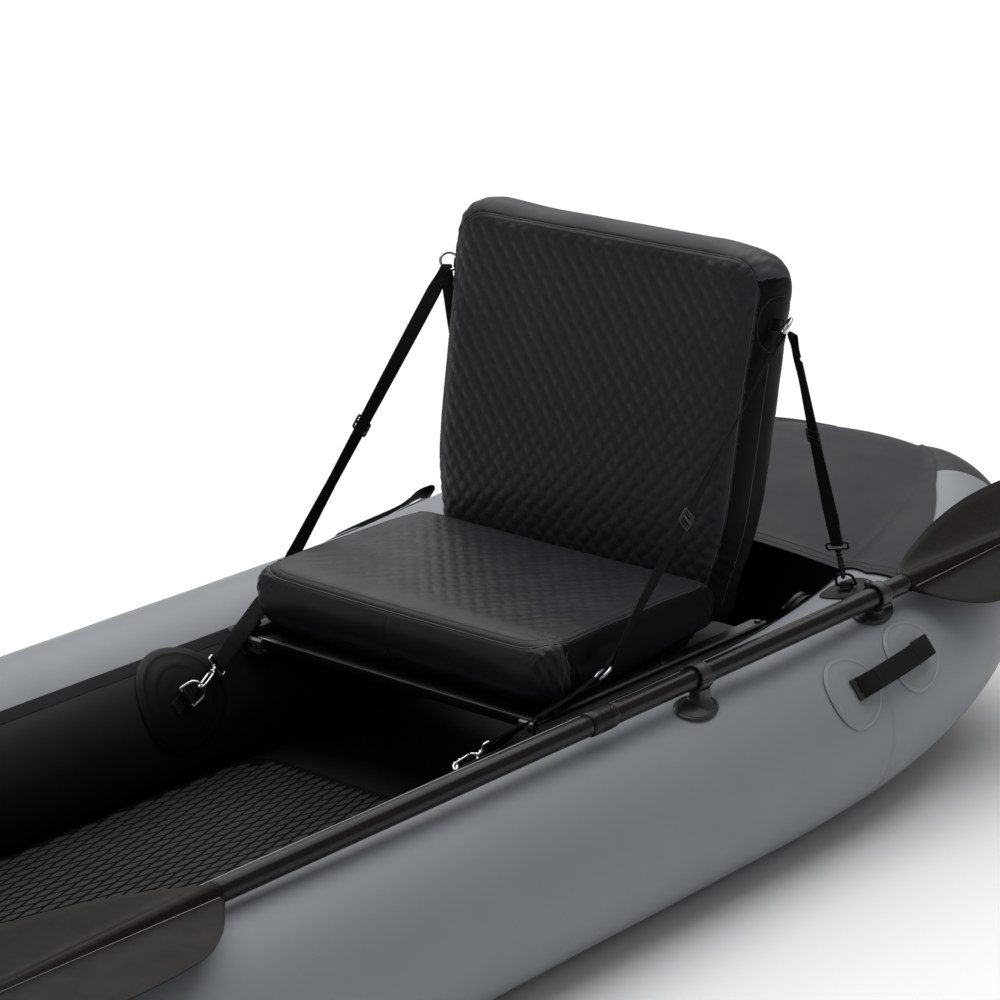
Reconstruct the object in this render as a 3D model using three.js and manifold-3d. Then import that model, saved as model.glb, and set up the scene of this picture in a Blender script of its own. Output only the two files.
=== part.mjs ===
// Inflatable sit-in fishing kayak with a bench, a padded seat held by four straps, and a paddle in two side clips.
// Millimetres, +Z up. +Y runs aft along the hull, the bow is at -Y, port is +X. The origin is on the ground, under the middle of the hull.
import * as THREE from "three";
import Module from "manifold-3d";
import { mergeVertices } from "three/addons/utils/BufferGeometryUtils.js";

const wasm = await Module();
wasm.setup();

// ---- driving dimensions -------------------------------------------------------------------
const TUBE_X = 354; // side tube centre from the centre plane
const TUBE_R = 130; // side tube radius
const SIDES = 24; // flats round a tube, one of them straight down
const TUBE_Z = TUBE_R * Math.cos(Math.PI / SIDES); // centre height, so that the lowest flat is on the ground
const HALF_STRAIGHT = 739; // the tubes run straight this far each way from the middle
const CURVE = 888; // and curve in over this length to the tip
const TIP_X = 46; // tube centre at the tip
const RISE = 134; // rocker at the tip
const PLAN_POWER = 3.42,
  RISE_POWER = 1.85,
  TAPER_POWER = 6.2,
  TAPER = 0.82;

const FLOOR_Z0 = 9,
  FLOOR_TOP = 68,
  FLOOR_HALF = 234,
  FLOOR_END = 1120;
const MAT_TOP = 73,
  MAT_HALF = 228,
  MAT_Y0 = -690,
  MAT_Y1 = 459;

const BENCH_Y0 = 480,
  BENCH_Y1 = 921,
  BENCH_HALF = 240,
  BENCH_TOP = 228,
  BENCH_T = 12;

const BEAD = [253.5, 233.5], // x, z of the rail's bead that the bench's channels slide on
  BEAD_R = 3.8;

const KNOB_Y = [492, 713, 923]; // knobs that lock the channels on the rails

const SEAT_Y = 479; // front edge of the bench, from which the seat is measured
const CREASE = [SEAT_Y + 360, BENCH_TOP + 91]; // y, z of the fold between cushion and backrest
const BACK_LEAN = THREE.MathUtils.degToRad(9.5);
const BACK_HALF = 250,
  BACK_T = 80,
  BACK_DOWN = 66, // below the crease, along the back
  BACK_UP = 428; // above it
const CUSHION_HALF = 255;

const WEB_W = 25, // webbing between the hull and the rings
  WEB_UP_W = 20, // webbing up to the backrest
  WEB_T = 2.4;
const RING_BACK = [288, SEAT_Y + 445.6, BENCH_TOP + 424.5]; // ring on the side of the backrest
const RING_CUSHION = [279, SEAT_Y + 79, BENCH_TOP + 50]; // ring beside the cushion
const DRING_FRONT_Y = 331,
  DRING_FRONT_PHI = 155;
const DRING_REAR_Y = 1033,
  DRING_REAR_PHI = 100;

const SHAFT_R = 13.5;
const SHAFT_AT = (y) => new THREE.Vector3(368 + 0.018 * (y + 671), y, 273 + 0.01135 * (y + 671));
const PADDLE_Y = [-696, 1524],
  BLADE_LEN = 470,
  FERRULE_Y = 414;
const BLADE_TILT = 26,
  FEATHER = 15;
const CLIP_Y = [605, 994];
const CLIP_PAD = [-12, 0]; // the pad's middle, along the tube from the clip
const CLIP_LEAN = [-7, 0]; // degrees round the tube from the shaft's foot point to the clip's pad

const HANDLE_Y = [859, 1030],
  HANDLE_PHI = 37,
  HANDLE_W = 30;
const VALVE_Y = 1062,
  VALVE_PHI = 150;

// ---- colours --------------------------------------------------------------------------------
const mat = (color, roughness, metalness = 0) => new THREE.MeshStandardMaterial({ color, roughness, metalness });
const PVC_GREY = mat(0x848b90, 0.42),
  PVC_DARK = mat(0x48464b, 0.55),
  FLOOR_BLACK = mat(0x17171a, 0.7),
  FOAM = mat(0x34362f, 0.85),
  BOARD = mat(0x1b1b1e, 0.5),
  ALU = mat(0x8d8f92, 0.35, 0.9),
  VINYL = mat(0x26242a, 0.45),
  WEBBING = mat(0x1e1f1c, 0.9),
  STEEL = mat(0xb9bbbd, 0.22, 1.0),
  BLACK_METAL = mat(0x1f1f20, 0.4, 0.6),
  PLASTIC = mat(0x2b2b2d, 0.5),
  SHAFT = mat(0x1f1a17, 0.25),
  BLADE = mat(0x241d18, 0.35);

// ---- mesh helpers ---------------------------------------------------------------------------
const V = (x, y, z) => new THREE.Vector3(x, y, z);
const lerp = (a, b, t) => a + (b - a) * t;
const root = new THREE.Group();
const anchors0 = {};

// Triangles from a list of points and faces, turned outward whichever way they were listed.
function solid(points, faces) {
  let volume = 0;
  for (const [a, b, c] of faces) volume += points[a].dot(V(0, 0, 0).crossVectors(points[b], points[c]));
  const g = new THREE.BufferGeometry();
  g.setAttribute("position", new THREE.Float32BufferAttribute(points.flatMap((p) => [p.x, p.y, p.z]), 3));
  g.setIndex(faces.flatMap(([a, b, c]) => (volume < 0 ? [a, c, b] : [a, b, c])));
  return g;
}

// A closed body through rings of equal point count. poles: optional end points instead of flat ends.
function loft(rings, poles = []) {
  const n = rings[0].length,
    points = rings.flat(),
    faces = [];
  for (let i = 0; i + 1 < rings.length; i++)
    for (let j = 0; j < n; j++) {
      const a = i * n + j,
        b = i * n + ((j + 1) % n),
        c = a + n,
        d = b + n;
      faces.push([a, b, d], [a, d, c]);
    }
  const mid = (r) => r.reduce((s, p) => s.add(p), V(0, 0, 0)).multiplyScalar(1 / n);
  for (const end of [0, 1]) {
    const base = end ? (rings.length - 1) * n : 0;
    points.push(poles[end] || mid(rings[end ? rings.length - 1 : 0].map((p) => p.clone())));
    const k = points.length - 1;
    for (let j = 0; j < n; j++) {
      const a = base + j,
        b = base + ((j + 1) % n);
      faces.push(end ? [a, b, k] : [b, a, k]);
    }
  }
  return solid(points, faces);
}

// A sheet with thickness: two grids of points of the same size, joined along their rims.
function sheet(top, bottom) {
  const m = top.length,
    n = top[0].length,
    points = [...top.flat(), ...bottom.flat()],
    faces = [],
    at = (i, j, low) => (low ? m * n : 0) + i * n + j;
  for (let i = 0; i + 1 < m; i++)
    for (let j = 0; j + 1 < n; j++) {
      faces.push([at(i, j), at(i, j + 1), at(i + 1, j + 1)], [at(i, j), at(i + 1, j + 1), at(i + 1, j)]);
      faces.push([at(i, j, 1), at(i + 1, j + 1, 1), at(i, j + 1, 1)], [at(i, j, 1), at(i + 1, j, 1), at(i + 1, j + 1, 1)]);
    }
  const rim = [];
  for (let j = 0; j < n; j++) rim.push([0, j]);
  for (let i = 1; i < m; i++) rim.push([i, n - 1]);
  for (let j = n - 2; j >= 0; j--) rim.push([m - 1, j]);
  for (let i = m - 2; i > 0; i--) rim.push([i, 0]);
  rim.forEach(([i, j], k) => {
    const [p, q] = rim[(k + 1) % rim.length];
    faces.push([at(i, j), at(i, j, 1), at(p, q, 1)], [at(i, j), at(p, q, 1), at(p, q)]);
  });
  return solid(points, faces);
}

// A flat outline given in two axes, pushed along a third: axes is the order of [first, second, push].
function prism(outline, from, to, place) {
  const flat = outline.map(([a, b]) => new THREE.Vector2(a, b));
  const tris = THREE.ShapeUtils.triangulateShape(flat, []);
  const n = flat.length,
    points = [...outline.map(([a, b]) => place(a, b, from)), ...outline.map(([a, b]) => place(a, b, to))],
    faces = [];
  for (const [a, b, c] of tris) faces.push([a, c, b], [a + n, b + n, c + n]);
  const ccw = THREE.ShapeUtils.area(flat) > 0;
  for (let i = 0; i < n; i++) {
    const j = (i + 1) % n;
    if (ccw) faces.push([i, j, j + n], [i, j + n, i + n]);
    else faces.push([i, j + n, j], [i, i + n, j + n]);
  }
  return solid(points, faces);
}
const XZ = (a, b, y) => V(a, y, b),
  YZ = (a, b, x) => V(x, a, b),
  XY = (a, b, z) => V(a, b, z);

// A flat strap along a path: across is the unit direction of its width at each point.
function strap(path, across, width, thick) {
  const rings = path.map((p, i) => {
    const t = path[Math.min(i + 1, path.length - 1)].clone().sub(path[Math.max(i - 1, 0)]).normalize();
    const w = (Array.isArray(across) ? across[i] : across).clone();
    w.addScaledVector(t, -w.dot(t)).normalize();
    const n = w.clone().cross(t).normalize();
    return [[-1, -1], [1, -1], [1, 1], [-1, 1]].map(([a, b]) =>
      p.clone().addScaledVector(w, (a * width) / 2).addScaledVector(n, (b * thick) / 2),
    );
  });
  return loft(rings);
}

const bare = (g) => {
  const c = g.index ? g.clone() : g.clone();
  for (const k of Object.keys(c.attributes)) if (k !== "position") c.deleteAttribute(k);
  return mergeVertices(c, 1e-4);
};
const body = (g) => {
  const c = bare(g);
  return new wasm.Manifold(
    new wasm.Mesh({ numProp: 3, vertProperties: new Float32Array(c.attributes.position.array), triVerts: new Uint32Array(c.index.array) }),
  );
};
const geometry = (m) => {
  const r = m.getMesh(),
    g = new THREE.BufferGeometry();
  g.setAttribute("position", new THREE.Float32BufferAttribute(r.vertProperties, 3));
  g.setIndex(new THREE.BufferAttribute(new Uint32Array(r.triVerts), 1));
  return g;
};
const join = (...list) => geometry(list.map(body).reduce((a, b) => a.add(b)));
const cut = (from, ...list) => geometry(list.map(body).reduce((a, b) => a.subtract(b), body(from)));

// Rigid placing: local x, y, z directions and origin.
const frameAt = (origin, x, y, z) => new THREE.Matrix4().makeBasis(x, y, z).setPosition(origin);
const put = (g, matrix) => g.clone().applyMatrix4(matrix);
const box = (x0, x1, y0, y1, z0, z1) => {
  const g = new THREE.BoxGeometry(x1 - x0, y1 - y0, z1 - z0);
  g.translate((x0 + x1) / 2, (y0 + y1) / 2, (z0 + z1) / 2);
  return g;
};
const mirror = (g) => {
  const c = bare(g.index ? g : g).applyMatrix4(new THREE.Matrix4().makeScale(-1, 1, 1)),
    i = c.index.array;
  for (let k = 0; k < i.length; k += 3) [i[k + 1], i[k + 2]] = [i[k + 2], i[k + 1]];
  return c;
};
function add(name, g, material) {
  const m = new THREE.Mesh(bare(g), material);
  m.geometry.computeVertexNormals();
  m.name = name;
  root.add(m);
  return m;
}
const pair = (stem, g, material) => {
  add(stem + "_port", g, material);
  add(stem + "_starboard", mirror(g), material);
};

// ---- the side tubes: centre line, radius and surface ---------------------------------------
function line(y) {
  const t = Math.max(0, (Math.abs(y) - HALF_STRAIGHT) / CURVE),
    s = Math.sign(y) || 1;
  return {
    t,
    x: TUBE_X - (TUBE_X - TIP_X) * t ** PLAN_POWER,
    z: TUBE_Z + RISE * t ** RISE_POWER,
    r: TUBE_R * (1 - TAPER * t ** TAPER_POWER),
    slope: (-s * (TUBE_X - TIP_X) * PLAN_POWER * t ** (PLAN_POWER - 1)) / CURVE,
  };
}
// Point of the port tube at station y, phi degrees up from straight outboard, off millimetres off the skin.
function skin(y, phi, off = 0) {
  const { x, z, r, slope } = line(y),
    n = Math.hypot(1, slope),
    a = THREE.MathUtils.degToRad(phi),
    R = r + off;
  return V(x + (R * Math.cos(a)) / n, y - (R * Math.cos(a) * slope) / n, z + R * Math.sin(a));
}
function normalAt(y, phi) {
  return skin(y, phi, 10).sub(skin(y, phi, 0)).normalize();
}
const alongAt = (y, phi) => skin(y + 5, phi).sub(skin(y - 5, phi)).normalize();
const at = (t) => HALF_STRAIGHT + CURVE * t;

// local frame on the skin: x along the hull, z out of the skin, y the rest
function skinFrame(y, phi, off = 0) {
  const z = normalAt(y, phi),
    x = alongAt(y, phi);
  x.addScaledVector(z, -x.dot(z)).normalize();
  return frameAt(skin(y, phi, off), x, z.clone().cross(x), z);
}
const frameVec = (m, x, y, z) => V(x, y, z).applyMatrix4(m);

const STATIONS = [0, 0.13, 0.24, 0.34, 0.43, 0.51, 0.58, 0.645, 0.7, 0.75, 0.8, 0.84, 0.88, 0.91, 0.94, 0.965, 0.985, 1];
function tube() {
  const ts = STATIONS;
  const ys = [...ts.map((t) => -at(t)).reverse(), ...ts.map(at)];
  const ring = (y, k = 1, push = 0) => {
    const { x, z, r, slope } = line(y),
      n = Math.hypot(1, slope),
      s = Math.sign(y);
    return Array.from({ length: SIDES }, (_, j) => {
      const a = ((j + 0.5) / SIDES) * 2 * Math.PI,
        R = r * k;
      return V(x + (R * Math.cos(a)) / n + (s * push * slope) / n, y - (R * Math.cos(a) * slope) / n + (s * push) / n, z + R * Math.sin(a));
    });
  };
  const end = at(1),
    r = line(end).r;
  const rings = [ring(-end, 0.62, r * 0.72), ring(-end, 0.88, r * 0.44), ...ys.map((y) => ring(y)), ring(end, 0.88, r * 0.44), ring(end, 0.62, r * 0.72)];
  const tip = (y) => {
    const { x, z, slope } = line(y),
      n = Math.hypot(1, slope),
      s = Math.sign(y);
    return V(x + (s * r * 0.95 * slope) / n, y + (s * r * 0.95) / n, z);
  };
  return loft(rings, [tip(-end), tip(end)]);
}

const valveFrame = skinFrame(VALVE_Y, VALVE_PHI);
const valvePocket = new THREE.CylinderGeometry(22.6, 22.6, 44, 16).rotateX(Math.PI / 2).translate(0, 0, -8);
const hullTube = cut(tube(), put(valvePocket, valveFrame));
add("port_tube", hullTube, PVC_GREY);
add("starboard_tube", mirror(hullTube), PVC_GREY);

// ---- floor, bottom skin and mat --------------------------------------------------------------
const floorLift = (y) => line(y).z - line(y).r - (TUBE_Z - TUBE_R);
const floorValveFrame = (() => {
  const [y0, y1] = [940, 1040],
    z0 = FLOOR_TOP + floorLift(y0),
    z1 = FLOOR_TOP + floorLift(y1),
    y = V(0, y1 - y0, z1 - z0).normalize(),
    x = V(1, 0, 0);
  return frameAt(V(130, 985, lerp(z0, z1, (985 - y0) / (y1 - y0))), x, y, x.clone().cross(y));
})();
{
  const ys = [-1120, -1040, -940, -840, -740, -250, 250, 740, 840, 940, 1040, 1120];
  const rings = ys.map((y) => {
    const up = floorLift(y),
      hw = FLOOR_HALF * (line(y).x / TUBE_X),
      z0 = FLOOR_Z0 + up,
      z1 = FLOOR_TOP + up;
    return [V(-hw, y, z0 + 24), V(-hw + 12, y, z0), V(hw - 12, y, z0), V(hw, y, z0 + 24), V(hw, y, z1 - 14), V(hw - 8, y, z1), V(-hw + 8, y, z1), V(-hw, y, z1 - 14)];
  });
  add("floor_panel", cut(loft(rings), put(valvePocket, floorValveFrame)), FLOOR_BLACK);
}
{
  const ts = STATIONS.filter((t) => t < 0.95);
  const ys = [...ts.map((t) => -at(t)).reverse(), ...ts.map(at)];
  const row = (y, off) => {
    const a = [254, 249.5].map((phi) => skin(y, phi, off)),
      q = line(y);
    a.push(V(Math.min(a[1].x - 8, 236 * (q.x / TUBE_X)), y, 7.9 - off + floorLift(y)));
    return [...a, ...a.map((p) => V(-p.x, p.y, p.z)).reverse()];
  };
  add("bottom_skin", sheet(ys.map((y) => row(y, 0.7)), ys.map((y) => row(y, 2.4))), PVC_DARK);
}
{
  const c = 45,
    o = [];
  for (const [sx, sy, a0] of [[1, 1, 0], [-1, 1, 90], [-1, -1, 180], [1, -1, 270]])
    for (let k = 0; k <= 4; k++) {
      const a = THREE.MathUtils.degToRad(a0 + k * 22.5);
      o.push([sx * (MAT_HALF - c) + c * Math.cos(a), (sy > 0 ? MAT_Y1 - c : MAT_Y0 + c) + c * Math.sin(a)]);
    }
  add("floor_mat", prism(o, FLOOR_TOP + 0.3, MAT_TOP, XY), FOAM);
}

// ---- decks: fabric over both tubes, with a front edge that comes forward over each tube -------
function deck(s) {
  const phis = [76, 84, 92, 100, 110, 121, 132],
    rows = 11,
    grid = (off) =>
      Array.from({ length: rows }, (_, i) => {
        const f = i / (rows - 1);
        const port = phis.map((phi0, j) => {
          const k = j / (phis.length - 1);
          const t0 = lerp(0.392, 0.4595, Math.max(0, (phi0 - 100) / 32));
          const t = lerp(t0, 0.965, f ** 0.9);
          // the outer edge moves up to the top of the tube as it runs to the tip, and the inner one too
          const outer = lerp(76, 97, Math.min(1, Math.max(0, (t - 0.392) / 0.35)));
          const inner = lerp(132, 104, Math.min(1, Math.max(0, (t - 0.4595) / 0.36)));
          const phi = lerp(outer, inner, k);
          return skin(s * at(t), phi, off);
        });
        const a = port[port.length - 1],
          across = [0.66, 0.33, 0].map((q) => V(a.x * q, a.y, a.z + 14 * (1 - q * q) * Math.min(1, a.x / 200)));
        return [...port, ...across, ...[...across.slice(0, 2), ...[]].reverse().map((p) => V(-p.x, p.y, p.z)), ...port.map((p) => V(-p.x, p.y, p.z)).reverse()];
      });
  return sheet(grid(4.2), grid(1.6));
}
add("stern_deck", deck(1), PVC_DARK);
add("bow_deck", deck(-1), PVC_DARK);

// ---- bench ------------------------------------------------------------------------------------
add("bench_board", prism([[-BENCH_HALF, BENCH_TOP - BENCH_T + 2], [-BENCH_HALF + 2, BENCH_TOP - BENCH_T], [BENCH_HALF - 2, BENCH_TOP - BENCH_T], [BENCH_HALF, BENCH_TOP - BENCH_T + 2], [BENCH_HALF, BENCH_TOP - 3], [BENCH_HALF - 3, BENCH_TOP], [-BENCH_HALF + 3, BENCH_TOP], [-BENCH_HALF, BENCH_TOP - 3]], BENCH_Y0, BENCH_Y1, XZ), BOARD);
add("bench_front_trim", box(-BENCH_HALF, BENCH_HALF, BENCH_Y0 - 4.4, BENCH_Y0 - 0.4, BENCH_TOP - BENCH_T - 2, BENCH_TOP - 0.5), ALU);
{
  // a strip with a bead, bonded along the tube's inboard shoulder: the foot follows the tube, the bead is straight
  const [bx, bz] = BEAD;
  const ring = (y) => {
    const c = line(y),
      P = (phi, off) => {
        const a = THREE.MathUtils.degToRad(phi);
        return V(c.x + (c.r + off) * Math.cos(a), y, c.z + (c.r + off) * Math.sin(a));
      },
      lean = Math.atan2(bz - c.z, bx - c.x),
      leanDeg = THREE.MathUtils.radToDeg(lean),
      B = (a, r, side = 0) => V(bx + r * Math.cos(lean + a) - side * Math.sin(lean), y, bz + r * Math.sin(lean + a) + side * Math.cos(lean)),
      out = [];
    for (let phi = 124; phi <= 144; phi += 2.5) out.push(P(phi, 0.6));
    out.push(P(144, 1.8), P(leanDeg + 0.45, 1.9));
    for (let k = 0; k <= 8; k++) out.push(B(Math.PI - 0.26 - (k * (2 * Math.PI - 0.52)) / 8, BEAD_R));
    out.push(P(leanDeg - 0.45, 1.9), P(124, 1.8));
    return out;
  };
  pair("bench_rail", loft([BENCH_Y0 - 22, HALF_STRAIGHT, at(0.13), BENCH_Y1 + 22].map(ring)), PLASTIC);
  // the channel that slides over the bead and carries the bench's edge
  const shell = prism([[240.4, 213.4], [242.3, 214.4], [261.6, 234.9], [262.5, 236.4], [262.5, 239], [260, 241], [243, 241], [240.4, 238.5]], BENCH_Y0 + 5, BENCH_Y1 + 8, XZ);
  const bore = new THREE.CylinderGeometry(BEAD_R + 0.7, BEAD_R + 0.7, 500, 14).translate(bx, 700, bz);
  const slot = box(-2, 2, 440, 960, -14, 0).rotateY(THREE.MathUtils.degToRad(-44.5)).translate(bx, 0, bz);
  let channel = cut(shell, bore, slot);
  for (const y of KNOB_Y) {
    const knob = new THREE.CylinderGeometry(3.8, 4.6, 4, 12).rotateX(Math.PI / 2).translate(257, y, 242);
    channel = join(channel, knob);
  }
  pair("bench_channel", channel, PLASTIC);
  // metal corner that ties the board's front to the channel
  const plate = prism([[BENCH_Y0 - 18, 211], [BENCH_Y0 - 5, 211], [BENCH_Y0 - 5, 214], [BENCH_Y0 - 13, 214.5], [BENCH_Y0 - 13, 231], [BENCH_Y0 - 16, 231], [BENCH_Y0 - 18, 229]], 222, 246, YZ);
  pair("bench_bracket", plate, ALU);
}

// ---- seat: cushion and backrest ----------------------------------------------------------------
{
  const y = (v) => SEAT_Y + v,
    z = (v) => BENCH_TOP + v;
  const profile = [[20, 1], [12, 10], [8, 34], [12, 58], [28, 72], [120, 82], [250, 88], [345, 87], [355, 80], [351, 60], [334, 20], [322, 2]];
  const mid = [185, 44];
  // the side bulges stay above the channels' knobs
  const sec = (x, k) => profile.map(([a, b]) => V(x, y(lerp(mid[0], a, k[0])), Math.max(Math.abs(x) > 239 ? 248.6 : 0, z(lerp(mid[1], b, k[1])))));
  add(
    "seat_cushion",
    loft([
      sec(-CUSHION_HALF, [0.86, 0.7]),
      sec(-CUSHION_HALF + 7, [0.985, 0.93]),
      sec(-239.1, [1, 1]),
      sec(-238.4, [1, 1]),
      sec(238.4, [1, 1]),
      sec(239.1, [1, 1]),
      sec(CUSHION_HALF - 7, [0.985, 0.93]),
      sec(CUSHION_HALF, [0.86, 0.7]),
    ]),
    VINYL,
  );
}
{
  // rounded slab: x across, u up the back, w through it; the front face passes through the crease
  const up = V(0, Math.sin(BACK_LEAN), Math.cos(BACK_LEAN)),
    out = V(0, Math.cos(BACK_LEAN), -Math.sin(BACK_LEAN));
  const P = (x, u, w) => V(x, CREASE[0], CREASE[1]).addScaledVector(up, u).addScaledVector(out, w);
  const outline = (inset) => {
    const c = 48,
      o = [];
    const u1 = BACK_UP - inset,
      u0 = -BACK_DOWN + inset,
      h = BACK_HALF - inset;
    for (const [sx, top, a0] of [[1, 1, 0], [-1, 1, 90], [-1, 0, 180], [1, 0, 270]]) {
      const cc = top ? c : 26;
      for (let k = 0; k <= 4; k++) {
        const a = THREE.MathUtils.degToRad(a0 + k * 22.5);
        o.push([sx * (h - cc) + cc * Math.cos(a), (top ? u1 - cc : u0 + cc) + cc * Math.sin(a)]);
      }
    }
    return o;
  };
  const layer = (w, inset) => outline(inset).map(([x, u]) => P(x, u, w));
  // slab with the tabs that hold the rings
  let slab = loft([layer(1, 14), layer(10, 2), layer(BACK_T * 0.5, 0), layer(BACK_T - 10, 2), layer(BACK_T, 14)]);
  const tab = box(BACK_HALF - 8, RING_BACK[0] - 15.6, RING_BACK[1] - 9, RING_BACK[1] + 9, RING_BACK[2] - 2.5, RING_BACK[2] + 2.5);
  slab = join(slab, tab, mirror(tab));
  add("backrest", slab, VINYL);
  anchors0.back_up = up.toArray();
  anchors0.back_out = out.toArray();
}

// ---- rings, patches and straps -----------------------------------------------------------------
const wireRing = (R, r) => new THREE.TorusGeometry(R, r, 6, 14); // in its own xy plane
const ringV = V(...RING_BACK),
  cushV = V(...RING_CUSHION);
// the backrest's ring: x across the straps, y up away from the front strap, back towards the rear strap
const RINGB = (() => {
  const y = V(0.012, 0.69, 0.724).normalize(),
    x = V(0.72, -0.5, 0.48);
  x.addScaledVector(y, -x.dot(y)).normalize();
  const back = V(0.15, 0.45, -0.88);
  back.addScaledVector(x, -back.dot(x)).normalize();
  return { x, y, back };
})();
pair("backrest_ring", put(wireRing(13, 2.2), frameAt(ringV, RINGB.x, RINGB.y, RINGB.x.clone().cross(RINGB.y))), STEEL);

// a round patch bonded on the skin, with a raised loop that holds the D-ring's bar
const PATCH_Q = [0.4, 0.72, 1];
function patch(y0, phi0, R, loop) {
  const n = 16,
    m = PATCH_Q.length,
    disc = (off) => {
      const pts = [];
      const perDeg = (TUBE_R * Math.PI) / 180;
      for (const q of PATCH_Q)
        pts.push(Array.from({ length: n }, (_, j) => {
          const a = (j / n) * 2 * Math.PI;
          return skin(y0 + q * R * Math.cos(a), phi0 + (q * R * Math.sin(a)) / perDeg, off * (q === 1 ? 0.72 : 1) + (q === 1 ? 0.35 : 0));
        }));
      return { rings: pts, mid: skin(y0, phi0, off) };
    };
  const top = disc(3.6),
    low = disc(1.2);
  const points = [top.mid, ...top.rings.flat(), low.mid, ...low.rings.flat()],
    faces = [],
    T = (q, j) => 1 + q * n + (j % n),
    L = (q, j) => 2 + m * n + q * n + (j % n),
    lowMid = 1 + m * n;
  for (let j = 0; j < n; j++) {
    faces.push([0, T(0, j), T(0, j + 1)], [lowMid, L(0, j + 1), L(0, j)]);
    for (let q = 0; q + 1 < m; q++) {
      faces.push([T(q, j), T(q + 1, j), T(q + 1, j + 1)], [T(q, j), T(q + 1, j + 1), T(q, j + 1)]);
      faces.push([L(q, j), L(q + 1, j + 1), L(q + 1, j)], [L(q, j), L(q, j + 1), L(q + 1, j + 1)]);
    }
    faces.push([T(m - 1, j), L(m - 1, j), L(m - 1, j + 1)], [T(m - 1, j), L(m - 1, j + 1), T(m - 1, j + 1)]);
  }
  const base = solid(points, faces);
  return loop ? join(base, loop) : base;
}
// D-ring in its own frame: the bar along x, the bow towards +z
function dring(w, h, r) {
  const pts = [];
  const n = 14,
    m = 6;
  for (let k = 0; k < n; k++) {
    const a = (k / n) * 2 * Math.PI - Math.PI / 2;
    pts.push(V((w / 2) * Math.cos(a), 0, Math.max(0, h * (0.42 + 0.58 * Math.sin(a)))));
  }
  const rings = pts.map((p, i) => {
    const t = pts[(i + 1) % n].clone().sub(pts[(i + n - 1) % n]).normalize(),
      s = V(0, 1, 0),
      u = t.clone().cross(s).normalize();
    return Array.from({ length: m }, (_, j) => {
      const b = (j / m) * 2 * Math.PI;
      return p.clone().addScaledVector(s, r * Math.cos(b)).addScaledVector(u, r * Math.sin(b));
    });
  });
  const points = rings.flat(),
    faces = [];
  for (let i = 0; i < n; i++)
    for (let j = 0; j < m; j++) {
      const a = i * m + j,
        b = i * m + ((j + 1) % m),
        c = ((i + 1) % n) * m + j,
        d = ((i + 1) % n) * m + ((j + 1) % m);
      faces.push([a, b, d], [a, d, c]);
    }
  return solid(points, faces);
}
// snap hook in its own frame: the ring's wire crosses along x at the origin, the strap pulls towards +z
function snapHook() {
  const loop = (w, lo, hi) => {
    const o = [],
      r = w / 2;
    for (let k = 0; k <= 6; k++) o.push([-r * Math.cos((k / 6) * Math.PI), lo + r - r * Math.sin((k / 6) * Math.PI)]);
    for (let k = 0; k <= 6; k++) o.push([r * Math.cos((k / 6) * Math.PI), hi - r + r * Math.sin((k / 6) * Math.PI)]);
    return o;
  };
  const place = (a, b, x) => V(x, a, b);
  const outer = prism(loop(17, -7, 31), -2.5, 2.5, place),
    inner = prism(loop(9.4, -3.2, 27), -4, 4, place);
  const window = box(-4, 4, 2.5, 12, 3, 22.6);
  const stem = new THREE.CylinderGeometry(3.2, 3.2, 9, 10).rotateX(Math.PI / 2).translate(0, 0, 34);
  const frame = cut(box(-16.5, 16.5, -3, 3, 37, 49), box(-13.2, 13.2, -5, 5, 40.5, 45.5));
  return { hook: join(cut(outer, inner, window), stem, frame), gate: box(-2, 2, 5, 8.2, 3.5, 21.5) };
}
function hookFrame(wire, pull, along) {
  const z = pull.clone().normalize(),
    x = along.clone().addScaledVector(z, -along.dot(z)).normalize();
  return frameAt(wire, x, z.clone().cross(x), z);
}
// the bars of an adjuster, as one block round the webbing
const slider = (p, dir, across, w) => {
  const z = dir.clone().normalize(),
    x = across.clone().addScaledVector(z, -across.dot(z)).normalize();
  return put(box(-w / 2 - 4, w / 2 + 4, -3.6, 3.6, -10, 10), frameAt(p, x, z.clone().cross(x), z));
};
const anchors = {};

function anchorSet(name, y, phi, R, ringTo, ringW, ringH, rise, metal) {
  // the D-ring stands out of its patch and points along the pull, its bar across it
  const foot = skin(y, phi, 6.4),
    n = normalAt(y, phi);
  const pull = ringTo.clone().sub(foot),
    flat = pull.clone().addScaledVector(n, -pull.dot(n)).normalize(),
    bar = n.clone().cross(flat).normalize(),
    a = THREE.MathUtils.degToRad(rise);
  const lean = flat.clone().multiplyScalar(Math.cos(a)).addScaledVector(n, Math.sin(a)).normalize();
  const f = frameAt(foot, bar, lean.clone().cross(bar), lean);
  const wire = frameVec(f, 0, 0, ringH);
  const loopBox = cut(box(-ringW / 2 + 5.5, ringW / 2 - 5.5, -7, 7, -5.2, 4.4), new THREE.CylinderGeometry(2.9, 2.9, 60, 12).rotateZ(Math.PI / 2));
  pair(name + "_patch", patch(y, phi, R, put(loopBox, frameAt(foot, bar, n.clone().cross(bar), n))), PVC_DARK);
  pair(name + "_dring", put(dring(ringW, ringH, 2), f), metal);
  const hf = hookFrame(wire, ringTo.clone().sub(wire), bar);
  const { hook, gate } = snapHook();
  pair(name + "_snap_hook", put(hook, hf), metal);
  pair(name + "_snap_gate", put(gate, hf), metal);
  anchors[name + "_gate_pivot"] = frameVec(hf, 0, 6.6, 20.5).toArray();
  anchors[name + "_gate_axis"] = V(-1, 0, 0).transformDirection(hf).toArray();
  anchors[name + "_foot"] = foot.toArray();
  anchors[name + "_wire"] = wire.toArray();
  anchors[name + "_bar"] = bar.toArray();
  anchors[name + "_hook_end"] = frameVec(hf, 0, 0, 49).toArray();
  return { end: frameVec(hf, 0, 0, 49.6), across: V(1, 0, 0).transformDirection(hf) };
}
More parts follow.
